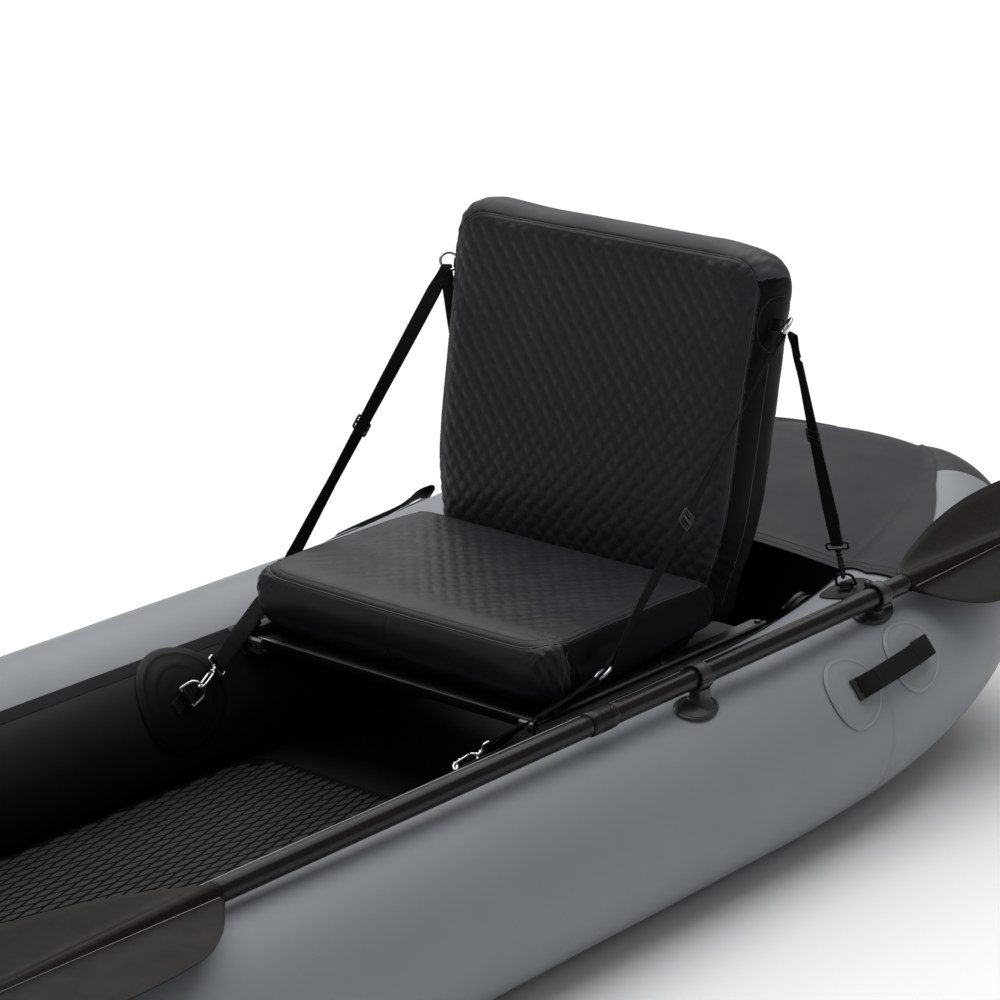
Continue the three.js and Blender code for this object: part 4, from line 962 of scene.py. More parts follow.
def on_surface(tree, pts, lift=0.0):
    out, nor = [], []
    for q in pts:
        loc, n, i, d = tree.find_nearest(Vector((np.asarray(q) + SHIFT) / 1000))
        out.append(np.array(loc) * 1000 - SHIFT + np.array(n) * lift)
        nor.append(np.array(n))
    return np.array(out), np.array(nor)


def tree_of(me):
    return BVHTree.FromPolygons([v.co[:] for v in me.vertices], [p.vertices[:] for p in me.polygons])


def resample(pts, step):
    p = np.asarray(pts, float)
    d = np.concatenate([[0], np.cumsum(np.linalg.norm(np.diff(p, axis=0), axis=1))])
    s = np.linspace(0, d[-1], max(2, int(d[-1] / step)))
    return np.stack([np.interp(s, d, p[:, k]) for k in range(3)], -1)


def paint(me, fn):
    """Material of each face from its middle."""
    n = len(me.polygons)
    buf = np.empty(n * 3, np.float32)
    me.polygons.foreach_get("center", buf)
    c = buf.reshape(-1, 3).astype(float) * 1000 - SHIFT
    me.polygons.foreach_get("normal", buf)
    me.polygons.foreach_set("material_index", np.asarray(fn(c, buf.reshape(-1, 3).astype(float)), np.int32))
    me.update()


def seat_cushion():
    prof = np.array([[44, 4], [28, 10], [15, 24], [8, 42], [7, 58], [11, 72], [20, 82], [38, 86], [80, 87], [130, 88], [190, 88], [250, 87.5], [330, 86], [344, 82], [350, 73], [347, 60], [335, 24], [326, 8], [314, 4], [260, 4], [200, 4], [140, 4], [90, 4]], float)
    closed = spline([[a, c, 0] for a, c in prof], 90, True)[:, :2]
    mid = np.array([182.0, 44.0])
    ins, R, half = 5.5, 24.0, 253.0
    rings = []
    xs = [-1] + list(np.linspace(-half + ins, -half + ins + R, 10)) + list(np.linspace(-half + R + 12, half - R - 12, 24)) + list(np.linspace(half - ins - R, half - ins, 10)) + [1]
    for x in xs[1:-1]:
        d = half - ins - abs(x)
        k = R - math.sqrt(max(0.0, R * R - max(0.0, R - d) ** 2)) if d < R else 0.0
        sy, sz = (168 - ins - 0.6 * k) / 168, (43 - ins * 0.8 - 0.6 * k - 2.6 * (abs(x) / half) ** 3) / 43
        rings.append([(x, SEAT_Y + mid[0] + (a - mid[0]) * sy, BENCH_TOP + mid[1] + (c - mid[1]) * sz) for a, c in closed])
    b = Build()
    loft(b, np.array(rings))
    me = swollen("seat_cushion_v", b, 5.5, 4.0, 9.0)
    p = coords(me) * 1000 - SHIFT
    net = edges_of(me)
    near = ramp(np.abs(p[:, 0]), 205, 240) * np.maximum(ramp(SEAT_Y + 60 - p[:, 1], 0, 30), ramp(p[:, 1] - SEAT_Y, 300, 330))
    p = eased(p, net, 0.25 + 0.75 * near, 60)
    p[:, 0] = stretch(p[:, 0], -262.0, 262.0)
    p[:, 1] = stretch(p[:, 1], SEAT_Y - 2.0, SEAT_Y + 354.0)
    p[:, 2] = stretch(p[:, 2], BENCH_TOP - 1.0, BENCH_TOP + 98.0)
    set_coords(me, (p + SHIFT) / 1000)
    # its front corners are round in plan
    dx, dy = np.abs(p[:, 0]) - 210.0, SEAT_Y + 50.0 - p[:, 1]
    both = (dx > 0) & (dy > 0)
    long_ = np.maximum(np.hypot(dx, dy), 1e-6)
    f = np.where(both, (np.maximum(0, np.maximum(dx, dy)) / long_) ** np.where(p[:, 0] > 0, 0.75, 0.3), 1.0)
    p[:, 0] = np.where(both, np.sign(p[:, 0]) * (210.0 + dx * f), p[:, 0])
    p[:, 1] = np.where(both, SEAT_Y + 50.0 - dy * f, p[:, 1])
    set_coords(me, (p + SHIFT) / 1000)
    # the filling stands nearly as high at the edges as in the middle
    high, _ = cast(tree_of(me), np.stack([p[:, 0] * 0.9985, lerp(p[:, 1], SEAT_Y + 176, 0.0015), np.full(len(p), BENCH_TOP + 160)], -1), (0, 0, -1))
    want = np.interp(np.abs(p[:, 0]), [0, 150, 215, 234, 245, 252, 258, 262], [98, 99, 100, 100, 97.5, 91, 80, 66])
    want = want * np.interp(p[:, 1] - SEAT_Y, [-2, 2, 8, 20, 44, 90, 270, 330, 346, 354], [0.56, 0.72, 0.86, 0.95, 0.985, 1, 1, 0.97, 0.90, 0.72])
    k = np.clip((want - 20) / np.maximum(high[:, 2] - BENCH_TOP - 20, 12), 0.85, 1.7)
    up_ = np.maximum(0, p[:, 2] - BENCH_TOP - 20)
    p[:, 2] += up_ * (k - 1)
    p = eased(p, net, np.ones(len(p)), 8)
    set_coords(me, (p + SHIFT) / 1000)
    n = normals(me)
    bare = tree_of(me)
    # the cover is drawn in at the corners by the filling: small folds fan out from each upper corner
    fade = ramp(n[:, 2], 0.55, 0.9) * ramp(250 - np.abs(p[:, 0]), 22, 46) * ramp(p[:, 1] - SEAT_Y, 40, 66) * ramp(352 - (p[:, 1] - SEAT_Y), 4, 26)
    h = basket(p[:, 0], p[:, 1] - SEAT_Y, 12.0, 13.0)
    p = p + n * (1.25 * h * fade)[:, None]
    for sx in (1, -1):
        # crumpled patch over the front corner
        ax, az = (p[:, 0] * sx - 222) / 27, (p[:, 2] - BENCH_TOP - 77) / 13
        k = np.exp(-(ax**2) - az**2) * ramp(SEAT_Y + 70 - p[:, 1], 0, 30)
        a, c_ = p[:, 0] * 0.42 * sx + p[:, 1] * 0.2, p[:, 2] * 0.5 - p[:, 1] * 0.36
        p = p + n * (0.8 * k * (np.sin(a * 1.3 + 1.2 * np.sin(c_)) * np.cos(c_ * 1.4 + 0.8 * np.sin(a * 0.7)) + 0.5 * np.sin(2.3 * a + 1.7 * c_)))[:, None]
        c = np.array([sx * 236.0, SEAT_Y + 34.0, BENCH_TOP + 66.0])
        v = p - c
        r = np.linalg.norm(v, axis=1)
        ang = np.arctan2(v[:, 2], -(v[:, 1]))
        k = np.exp(-((r - 30) / 24) ** 2) * ramp(n[:, 0] * sx, -0.2, 0.5) * ramp(-v[:, 1], -34, -4)
        wave = np.sin(v[:, 1] * 0.62 + 0.25 * v[:, 2]) + 0.5 * np.sin(v[:, 1] * 1.05 + 0.1 * v[:, 2] + 1)
        p = p + n * (0.7 * k * wave)[:, None]
        c = np.array([sx * 246.0, SEAT_Y + 336.0, BENCH_TOP + 66.0])
        r = np.linalg.norm(p - c, axis=1)
        p = p + n * (0.9 * np.exp(-((r - 18) / 16) ** 2) * np.sin(p[:, 1] * 0.5 + p[:, 2] * 0.2))[:, None]
    # slack drag lines along the front face and the sides
    side = ramp(1 - np.abs(n[:, 2]), 0.3, 0.8)
    p = p + n * (0.35 * side * np.sin(p[:, 0] / 17 + 1.4 * np.sin(p[:, 2] / 19)) * np.sin(p[:, 2] / 15 + p[:, 1] / 31))[:, None]
    # seams: one round the top panel, below its rounded edge, and one down each corner
    R2, xh, ya, yb = 26.0, 248.0, SEAT_Y + 9.0, SEAT_Y + 342.0
    loop = []
    for sx, sy, a0, R3 in ((1, 1, 0, R2), (-1, 1, 90, R2), (-1, -1, 180, 32.0), (1, -1, 270, 42.0)):
        for k in range(11):
            a = math.radians(a0 + k * 9)
            loop.append((sx * (xh - R3) + R3 * math.cos(a), (yb - R3 if sy > 0 else ya + R3) + R3 * math.sin(a), BENCH_TOP + 140.0))
    loop, _ = cast(bare, resample(loop + loop[:1], 6.0)[:-1], (0, 0, -1))
    loop = relaxed(loop, 3)
    loop = np.concatenate([loop, loop[:1]])
    p = groove(p, n, loop, 1.2, 2.2)
    for x in (-16.0,):
        p = groove(p, n, [(x, SEAT_Y + 8, BENCH_TOP + 82), (x, SEAT_Y + 2, BENCH_TOP + 66), (x, SEAT_Y + 1, BENCH_TOP + 40), (x, SEAT_Y + 14, BENCH_TOP + 12)], 0.8, 2.2)
    for x in (-1, 1):
        p = groove(p, n, [(x * 256, SEAT_Y + 34, BENCH_TOP + 84), (x * 261, SEAT_Y + 36, BENCH_TOP + 55), (x * 256, SEAT_Y + 36, BENCH_TOP + 22)], 1.2, 2.2)
        p = groove(p, n, [(x * 250, SEAT_Y + 25, BENCH_TOP + 84), (x * 254, SEAT_Y + 25, BENCH_TOP + 55), (x * 250, SEAT_Y + 26, BENCH_TOP + 22)], 0.8, 2.0)
    # flat on the board, clear of the channels beside it and of the backrest behind it
    p[:, 2] = np.maximum(p[:, 2], BENCH_TOP + 0.7 + (20.5 + 20 * ramp(p[:, 1] - SEAT_Y, 120, 330)) * ramp(np.abs(p[:, 0]), 226, 238))
    rel = p - CREASE
    p = p - np.maximum(0, rel @ OUT + 3.4 + 0.085 * np.maximum(0, -(rel @ UP)))[:, None] * OUT
    p[:, 0] = np.clip(p[:, 0], -266, 266)
    set_coords(me, (p + SHIFT) / 1000)
    me.materials.clear()
    for m in (VINYL, VINYL_DARK_AND_SIDE_SHADE):
        me.materials.append(m)
    tree = tree_of(me)
    # the side panels behind the front corners take the darker copy of the vinyl, as painted shade
    paint(me, lambda c, nn: np.where((np.abs(c[:, 0]) > 247.5) & (c[:, 1] > SEAT_Y + 35), 1, 0))
    me.shade_smooth()
    o = place("seat_cushion_v", me, "hull", ["seat_cushion"])
    # the stitched welt over the seam, in a lighter colour as its painted highlight
    pts, nor = on_surface(tree, resample(loop, 3.0), 0.15)
    b = Build()
    sweep(b, relaxed(pts[:-1]), 0.8, 8, True, 0)
    for x in (-16.0,):
        q, qn = on_surface(tree, resample([(x, SEAT_Y + 7, BENCH_TOP + 80), (x, SEAT_Y + 1, BENCH_TOP + 64), (x, SEAT_Y, BENCH_TOP + 40), (x, SEAT_Y + 12, BENCH_TOP + 14)], 3.0), 0.1)
        stitches(b, q, qn, 2.8, 1.6, 0.3, 1)
    # piping down the two front corners, where the side panels begin, painted lighter as its highlight
    for x in (-1, 1):
        for dy in (25.0, 35.4):
            q, qn = on_surface(tree, resample([(x * 262, SEAT_Y + dy, BENCH_TOP + z) for z in (86, 55, 24)], 3.0), 0.1)
            sweep(b, 0.5 * q + 0.25 * (np.concatenate([q[:1], q[:-1]]) + np.concatenate([q[1:], q[-1:]])), 0.8, 8, mat=0)
    pts2, nor2 = cast(tree, resample([(a[0] * 0.965, lerp(a[1], SEAT_Y + 177, 0.05), BENCH_TOP + 140.0) for a in loop], 3.0), (0, 0, -1), 0.1)
    stitches(b, pts2, nor2, 2.8, 1.8, 0.3, 1)
    seams = make("seat_cushion_seams", b, [PIPING_HIGHLIGHT, THREAD], "hull", angle=60)
    # the folded back presses the cushion down
    # each piece gets a mesh of its own
    for piece in (o, seams):
        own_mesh(piece)
    return o


BACK_HALF, BACK_T, BACK_DOWN, BACK_UP = 250.0, 80.0, 66.0, 428.0


def back_point(x, u, w):
    return np.stack(np.broadcast_arrays(np.asarray(x, float), 0.0, 0.0), -1) + CREASE + np.multiply.outer(np.asarray(u, float), UP) + np.multiply.outer(np.asarray(w, float), OUT)


def back_outline(inset, n=9):
    o = []
    u1, u0, h = BACK_UP - inset, -BACK_DOWN + inset, BACK_HALF - inset
    for sx, top, a0 in ((1, 1, 0), (-1, 1, 90), (-1, 0, 180), (1, 0, 270)):
        c = (52.0 if top else 28.0) - min(inset, 12)
        for k in range(n):
            a = math.radians(a0 + k * 90 / (n - 1))
            o.append((sx * (h - c) + c * math.cos(a), (u1 - c if top else u0 + c) + c * math.sin(a)))
    return o


def back_half(u):
    """Half the filled back's width at a height above its crease."""
    return np.interp(u, [-66, -10, 19, 46, 66, 94, 121, 175, 250, 300, 355, 384, 413], [236, 242, 251, 257, 261, 264, 265, 266, 267, 268, 270, 271, 269])


def seam_inside(x, u):
    """How far a point of the back lies inside the seam of its front panel, and where, across and up."""
    hx, hu = np.abs(x) * 250 / back_half(u), (u + 64) * 494 / 503 - 66
    edge = np.minimum(234 - hx, np.minimum(412 - hu, hu + 60))
    corner = np.where((hx > 194) & (hu > 372), 40 - np.hypot(hx - 194, hu - 372), 1e9)
    return np.minimum(edge, corner), hx, hu


def dense_outline(inset):
    o = back_outline(inset, 12)
    out = []
    for (a, c), (a2, c2) in zip(o, o[1:] + o[:1]):
        m = max(1, int(math.hypot(a2 - a, c2 - c) / 18))
        out += [(lerp(a, a2, k / m), lerp(c, c2, k / m)) for k in range(m)]
    return out


def backrest():
    ins, R = 6.0, 17.0
    rings = []
    T0, T1 = ins - 1.0, BACK_T - ins + 1.0
    for a in np.linspace(0, 90, 8):
        rings.append((T0 + R * (1 - math.cos(math.radians(a))) * 1.0, ins + R * (1 - math.sin(math.radians(a)))))
    rings = [(w, i) for w, i in rings]
    ws = [(T0 + R - R * math.cos(math.radians(a)), ins + R - R * math.sin(math.radians(a))) for a in np.linspace(0, 90, 8)]
    we = [(T1 - R + R * math.cos(math.radians(a)), ins + R - R * math.sin(math.radians(a))) for a in np.linspace(90, 0, 8)]
    b = Build()
    loft(b, np.array([[back_point(x, u, w) for x, u in back_outline(i)] for w, i in ws + we]))
    me = swollen("backrest_v", b, 5.5, 4.0, 10.0)
    p = coords(me) * 1000 - SHIFT
    # the filling pushes the upper part out further than the foot, which is held by the cushion
    rel = p - CREASE
    near = np.maximum(ramp(np.abs(rel[:, 0]), 170, 215) * ramp(rel @ UP, 345, 385), 0.6 * ramp(rel @ UP, 380, 410))
    p = eased(p, edges_of(me), 0.25 + 0.75 * near, 80)
    rel = p - CREASE
    x, u, w = rel[:, 0], stretch(rel @ UP, -64.0, 442.5, 0.5), stretch(rel @ OUT, -6.0, 88.0)
    x = stretch(x, -250.0, 250.0)
    bins = np.arange(-40, 381, 20.0)
    have = np.array([np.percentile(np.abs(x[np.abs(u - c) < 12]), 99.5) for c in bins])
    x = x * np.interp(u, bins, back_half(bins) / have)
    # the upper corner on the port side is pulled down a little by its strap
    u = u - 9.0 * ramp(x, 150, 232) * ramp(u, 330, 430)
    # its foot keeps clear of the cushion, and the front panel rounds out above it
    low = lerp(2.2, -15.0, ramp(u, -24, 120))
    w = 0.5 * (w + low + np.sqrt((w - low) ** 2 + 5.0 ** 2))
    p = back_point(x, u, w)
    set_coords(me, (p + SHIFT) / 1000)
    bare = tree_of(me)
    n = normals(me)
    rel = p - CREASE
    x, u, w = rel[:, 0], rel @ UP, rel @ OUT
    nw, nu = n @ OUT, n @ UP
    front = ramp(-nw, 0.55, 0.9)
    # distance to the front panel's outline
    edge, hx, hu = seam_inside(x, u)
    p = p + n * (2.1 * basket(x, u) * front * ramp(edge, 4, 13))[:, None]
    # loose folds low on the front panel, as the cover is pressed by the cushion
    low = np.exp(-((u - 22) / 20) ** 2) * front
    p = p + n * (0.8 * low * np.sin(x / 26 + 0.7 * np.sin(u / 9)) * np.sin(x / 61 + 1))[:, None]
    # the corner gussets are gathered
    for sx in (1, -1):
        c = back_point(sx * 240.0, 412.0, 20.0)
        v = p - c
        r = np.linalg.norm(v, axis=1)
        k = np.exp(-((r - 20) / 20) ** 2) * ramp(n[:, 0] * sx + nu, 0.1, 0.9)
        s = np.arctan2(u - 376, (hx - 200))
        p = p + n * (0.6 * k * (np.sin(s * 17 + w * 0.12) + 0.5 * np.sin(s * 31 - w * 0.2)))[:, None]
        c2 = back_point(sx * 244.0, 20.0, 20.0)
        r2 = np.linalg.norm(p - c2, axis=1)
        p = p + n * (0.7 * np.exp(-((r2) / 42) ** 2) * np.sin(u * 0.42 + w * 0.2))[:, None]
    side = ramp(1 - np.abs(nw), 0.4, 0.9)
    p = p + n * (0.3 * side * np.sin(u / 23 + 1.2 * np.sin(w / 17)) * np.sin(w / 13 + x / 57))[:, None]
    # seams
    def spread(a, c, ww):
        u_ = (c + 66) * 503 / 494 - 64
        return back_point(a * float(back_half(u_)) / 250, u_, ww)

    def seam(inset, ww, direction):
        q, _ = cast(bare, [spread(a, c, ww) for a, c in dense_outline(inset)], direction)
        q = relaxed(q, 2)
        return np.concatenate([q, q[:1]])

    front_seam, rear_seam = seam(16.0, -60.0, OUT), seam(13.0, 150.0, -OUT)
    p = groove(p, n, front_seam, 1.3, 2.4)
    p = groove(p, n, rear_seam, 1.3, 2.4)
    for sx in (-1, 1):
        p = groove(p, n, [back_point(sx * 264, c, 30) for c in (300, 120, -40)], 0.9, 2.2)
    # round reinforcements that carry the rings
    for sx in (-1, 1):
        d = np.hypot(u - 343, w - 36)
        on = (x * sx > 238)
        p = p + n * np.where(on, 1.2 * ramp(37.5 - d, 0, 2.0), 0)[:, None]
    rel = p - CREASE
    w = rel @ OUT
    p = p + np.maximum(0, lerp(0.2, -15.5, ramp(rel @ UP, -12, 84)) - w)[:, None] * OUT
    p[:, 0] = np.clip(p[:, 0], -275, 275)
    set_coords(me, (p + SHIFT) / 1000)
    me.materials.clear()
    for m in (VINYL, VINYL_DARK_AND_SIDE_SHADE, VINYL_TOP_LIT):
        me.materials.append(m)

    # the side bands get the darker copy of the vinyl as painted shade, the top band the lighter copy as painted light
    def kind(c, nn):
        r_ = c - CREASE
        e, ax, au = seam_inside(r_[:, 0], r_ @ UP)
        band = (e < np.where(r_ @ OUT < 40, 0.2, -3.0)) & (np.abs(nn @ OUT) < 0.93)
        across = (ax - 194) > 2.4 * np.maximum(0, au - 372)
        return np.where(band & across & (ax > 200), 1, np.where(band & (au > 372), 2, 0))

    paint(me, kind)
    me.shade_smooth()
    o = place("backrest_v", me, "backrest", ["backrest"])
    tree = tree_of(me)
    b = Build()
    # welts over both seams, painted lighter as their highlight
    for s_ in (front_seam, rear_seam):
        q, qn = on_surface(tree, resample(s_, 3.0), 0.15)
        sweep(b, relaxed(q[:-1]), 0.75, 8, True, 0)
    # stitch rows beside the seam, on the front panel
    inner = [spread(a, c, -60.0) for a, c in dense_outline(21)]
    q, qn = cast(tree, resample(inner + inner[:1], 3.0), OUT, 0.1)
    stitches(b, q, qn, 2.8, 1.8, 0.3, 1)
    for sx in (-1, 1):
        # piping down each side, painted lighter as its highlight
        q, qn = on_surface(tree, resample([back_point(sx * 264, c, 30) for c in (300, 120, -40)], 3.0), 0.1)
        sweep(b, q, 0.6, 8, mat=0)
        ring = [back_point(sx * 264, 343 + 35.5 * math.cos(a), 36 + 35.5 * math.sin(a)) for a in np.linspace(0, 2 * math.pi, 60)]
        q, qn = on_surface(tree, resample(ring, 2.5), 0.1)
        stitches(b, q, qn, 2.6, 1.5, 0.3, 0)
        # webbing tab that holds the ring
        c = RING_BACK * [sx, 1, 1]
        base, bn = on_surface(tree, [back_point(sx * 264, 343, 32)], 0.0)
        wire = c + np.array([-sx * 13.0, 0, 0])
        d_out = unit(wire - base[0])
        for lift in (0,):
            s0, s1 = back_point(sx * 264, 343, 19), back_point(sx * 264, 343, 46)
            a0, _ = on_surface(tree, [s0], 1.2)
            a1, _ = on_surface(tree, [s1], 1.2)
            path = spline([a0[0], lerp(a0[0], base[0], 0.6) + d_out * 1.0, wire + OUT * -3.1 + d_out * 0.2, wire + d_out * 3.3, wire + OUT * 3.1 + d_out * 0.2, lerp(a1[0], base[0], 0.6) + d_out * 1.0, a1[0]], 48)
            ribbon(b, path, UP, 14.0, 1.4, 2)
        for c_, ww in ((343, 23), (343, 42)):
            for du in (-4.5, 4.5):
                q, qn = on_surface(tree, [back_point(sx * 264, c_ + du, ww - 3), back_point(sx * 264, c_ + du, ww + 3)], 1.9)
                stitches(b, resample(q, 2), np.array([qn[0]] * len(resample(q, 2))), 2.4, 1.2, 0.3, 1)
    make("backrest_seams", b, [PIPING_HIGHLIGHT, THREAD, VINYL_DARK_AND_SIDE_SHADE], "backrest", angle=60)
    return o


# ---- rings, patches, hooks and webbing --------------------------------------------------------------
def wire_ring(b, c, x, y, R, r, mat=0):
    a = np.linspace(0, 2 * math.pi, 48, endpoint=False)
    z = np.cross(x, y)
    path = c + R * (np.cos(a)[:, None] * x + np.sin(a)[:, None] * y)
    sweep(b, path, r, 12, True, mat, ref=z)


def ring_b_dirs():
    y = unit(np.array([0.012, 0.69, 0.724]))
    x = np.array([0.72, -0.5, 0.48])
    x = unit(x - y * (x @ y))
    back = np.array([0.15, 0.45, -0.88])
    return x, y, unit(back - x * (back @ x))


RBX, RBY, RBBACK = ring_b_dirs()


def patch(y0, phi0, R, mats=(0, 0), raised=(0.86, 0.55), tall=3.4):
    """Round bonded patch: a disc on the skin with a pressed ridge or two."""
    b = Build()
    per = TUBE_R * math.pi / 180
    qs = [0.02, 0.12, 0.25, 0.38, 0.46, 0.50, 0.53, 0.56, 0.59, 0.63, 0.70, 0.78, 0.81, 0.84, 0.87, 0.90, 0.93, 0.965, 0.985, 1.0]
    n = 64

    def height(q):
        h = 2.3
        for c in raised:
            h += 0.75 * math.exp(-(((q - c) / 0.028) ** 2))
        return h * (1.0 if q < 0.96 else lerp(1.0, 0.62, (q - 0.96) / 0.04))

    a = np.arange(n) / n * 2 * np.pi
    ring = lambda q, off: skin(y0 + q * R * np.cos(a), phi0 + q * R * np.sin(a) / per, off)
    rows = [ring(q, height(q)) for q in qs] + [ring(q, 1.25) for q in qs[::-1]]
    loft(b, np.array(rows), mats[0])
    return b


def dring(b, f, w, h, r, mat=0):
    pts = [(-w / 2, 0, 0)]
    pts += [(x, 0, 0) for x in np.linspace(-w / 2 + 2, w / 2 - 2, 10)] + [(w / 2, 0, 0)]
    k = np.linspace(0, math.pi, 26)
    arc = [((w / 2) * math.cos(a), 0, h * (0.42 * min(1, math.sin(a) * 2.2) + 0.58 * math.sin(a))) for a in k[1:-1]]
    path = np.array([p for p in pts] + arc)
    path = spline(path, 72, True)
    path[:, 1] = 0
    path[:, 2] = np.maximum(path[:, 2], 0)
    sweep(b, f(path), r, 12, True, mat, ref=f.m[1])


def snap_hook(b, f, mat=0):
    """Swivel snap hook: the ring's wire crosses along x at the origin, the strap pulls towards +z."""
    # the hook's bow, from the nose at the gate's free end round to the gate's pivot
    path = [(6.6, 1.0)]
    for a in np.linspace(-18, -162, 13):
        path.append((6.4 * math.cos(math.radians(a)), 1.2 + 6.4 * math.sin(math.radians(a))))
    path += [(-6.7, 6), (-6.7, 14), (-6.4, 21)]
    for a in np.linspace(172, 22, 11):
        path.append((6.4 * math.cos(math.radians(a)), 23.0 + 5.9 * math.sin(math.radians(a))))
    p = spline([(0, a, c) for a, c in path], 74)
    r = np.interp(np.linspace(0, 1, len(p)), [0, 0.06, 0.3, 0.55, 0.8, 1], [1.55, 1.9, 2.15, 1.95, 2.2, 1.9])
    sweep(b, f(p), r, 12, mat=mat, ref=f.m[0], flat=0.94)
    # a small stop at the nose
    sweep(b, f(np.array([(0, 6.9, 0.2), (0, 6.5, 1.6)])), [2.1, 1.9], 12, mat=mat)
    # swivel: collar, ball and the frame that takes the strap
    lathe(b, [(0, 27.5), (2.9, 27.5), (4.3, 28.4), (4.4, 30.2), (3.5, 31.4), (2.5, 31.8), (2.45, 33.4), (4.1, 34.0), (4.2, 35.6), (2.6, 36.4), (0, 36.4)], Frame(f.o, f.m[0], f.m[1], f.m[2]), 28, mat)
    loop = []
    for cx, cz, a0 in ((12.4, 45.3, 0), (-12.4, 45.3, 90), (-12.4, 40.6, 180), (12.4, 40.6, 270)):
        for k in range(5):
            a = math.radians(a0 + k * 22.5)
            loop.append((cx + 2.3 * math.cos(a), 0, cz + 2.3 * math.sin(a)))
    sweep(b, f(spline(loop, 64, True)), 1.72, 12, True, mat, ref=f.m[1], flat=1.0)
    boxed(b, f, (-5.2, -2.4, 36.0), (5.2, 2.4, 39.6), mat, 0.9)


def snap_gate(b, f, mat=0):
    p = np.array([(0, 6.6, 3.7), (0, 6.6, 8), (0, 6.7, 14), (0, 6.7, 19.6), (0, 6.6, 21.2)])
    sweep(b, f(spline(p, 20)), [1.35] * 2 + [1.6] * 14 + [1.75] * 4, 12, mat=mat, ref=f.m[0], flat=0.92)
    sweep(b, f(np.array([(-2.1, 6.6, 20.4), (0, 6.6, 20.4), (2.1, 6.6, 20.4)])), 0.85, 10, mat=mat)
    # thumb stud
    sweep(b, f(np.array([(0, 7.6, 8.6), (0, 8.7, 8.6)])), 1.1, 10, mat=mat)


def hook_frame(wire, pull, along):
    z = unit(pull)
    x = unit(along - z * (along @ z))
    return Frame(wire, x, np.cross(z, x), z)


def wrap(end, toward, n, r=3.3, tail=34.0, step=3.0):
    """Points of webbing that comes up to a bar at end, turns round it and lies back on itself."""
    d, n = unit(toward), unit(n)
    pts = [end - d * 30 + n * 0.95, end - d * 20 + n * 1.1, end - d * 12 + n * 1.9, end - d * 6 + n * (r * 0.85)]
    for a in np.linspace(90, -90, 11):
        pts.append(end + r * (d * math.cos(math.radians(a)) + n * math.sin(math.radians(a))))
    pts += [end - d * 6 - n * (r * 0.85), end - d * 12 - n * 1.9, end - d * 20 - n * 1.1, end - d * tail - n * 0.95]
    return pts


def triglide(b, c, d, w, n, width, mat):
    """Slide adjuster: a frame and a middle bar, with the webbing woven through it."""
    f = Frame(c, unit(w), unit(n), unit(d))
    hw, hl, t = width / 2 + 3.4, 9.4, 1.7
    loop = []
    for cx, cz, a0 in ((hw - 2.2, hl - 2.2, 0), (-hw + 2.2, hl - 2.2, 90), (-hw + 2.2, -hl + 2.2, 180), (hw - 2.2, -hl + 2.2, 270)):
        for k in range(5):
            a = math.radians(a0 + k * 22.5)
            loop.append((cx + 2.2 * math.cos(a), 0.6, cz + 2.2 * math.sin(a)))
    sweep(b, f(spline(loop, 60, True)), 1.75, 10, True, mat, ref=f.m[1], flat=1.0)
    boxed(b, f, (-hw + 0.6, 0.4, -1.9), (hw - 0.6, 3.1, 1.9), mat, 0.8)
    for k in (-1, 1):
        boxed(b, f, (-hw + 3, 1.7, k * 5.4 - 0.5), (hw - 3, 2.5, k * 5.4 + 0.5), mat, 0.3)


def frames_between(p0, p1, n, a0, a1, ease=1.0):
    k = np.linspace(0, 1, n)
    return p0 + k[:, None] * (p1 - p0), unit(a0 + (k**ease)[:, None] * (a1 - a0))


def strap_between(b, e0, w0, e1, w1, turn, width, flips=(1, 1), sag=0.0, ends=(20.0, 20.0), sewn=True, tails=(34.0, 34.0)):
    """Webbing from the bar e0 to the bar e1, looped round both. turn: stations and how far the twist has gone."""
    d = unit(e1 - e0)
    L = float(np.linalg.norm(e1 - e0))
    wdir = lambda s: unit(unit(w0 - d * (w0 @ d)) * (1 - np.interp(s / L, *turn)) + unit(w1 - d * (w1 @ d)) * np.interp(s / L, *turn))
    n0 = np.cross(wdir(0), -d) * flips[0]
    n1 = np.cross(wdir(L), d) * flips[1]
    first = wrap(e0, -d, n0, tail=tails[0])[::-1]  # from the tail, round the bar, towards the run
    last = wrap(e1, d, n1, tail=tails[1])
    head = [p for p in first]
    run = []
    s0, s1 = 34.0, L - 34.0
    for s in np.linspace(s0, s1, max(6, int((s1 - s0) / 9))):
        k = (s - s0) / (s1 - s0)
        off = n0 * 0.95 * (1 - ramp(k, 0, 0.12)) + n1 * 0.95 * ramp(k, 0.88, 1)
        run.append(e0 + d * s + off + np.array([0, 0, -sag * 4 * k * (1 - k)]))
    pts = head + run + last
    p = spline(pts, int((L + tails[0] + tails[1]) / 3.2))
    s = (p - e0) @ d
    w = np.array([wdir(min(max(q, 0), L)) for q in s])
    near = np.minimum(np.abs(s), np.abs(s - L))
    k0, k1 = ends
    at0 = s < L / 2
    wid = np.where(at0, lerp(k0, width, ramp(s, 6, 42)), lerp(k1, width, ramp(L - s, 6, 42)))
    ribbon(b, p, w, wid, 1.5)
    if sewn:
        for e, dd, nn, side in ((e0, d, n0, 0), (e1, -d, n1, 1)):
            wv = wdir(0 if side == 0 else L)
            hw = (k0 if side == 0 else k1) / 2 - 2.6
            q = lambda a, c: e + dd * a + nn * 1.75 + wv * c
            for s_, e_ in (((14, -hw), (14, hw)), ((28, -hw), (28, hw)), ((14, -hw), (28, -hw)), ((14, hw), (28, hw)), ((14, -hw), (28, hw)), ((14, hw), (28, -hw))):
                a_, c_ = q(*s_), q(*e_)
                seg = resample([a_, c_], 1.5)
                stitches(b, seg, np.array([nn] * len(seg)), 2.0, 0.9, 0.28, 1)
    return d, wdir


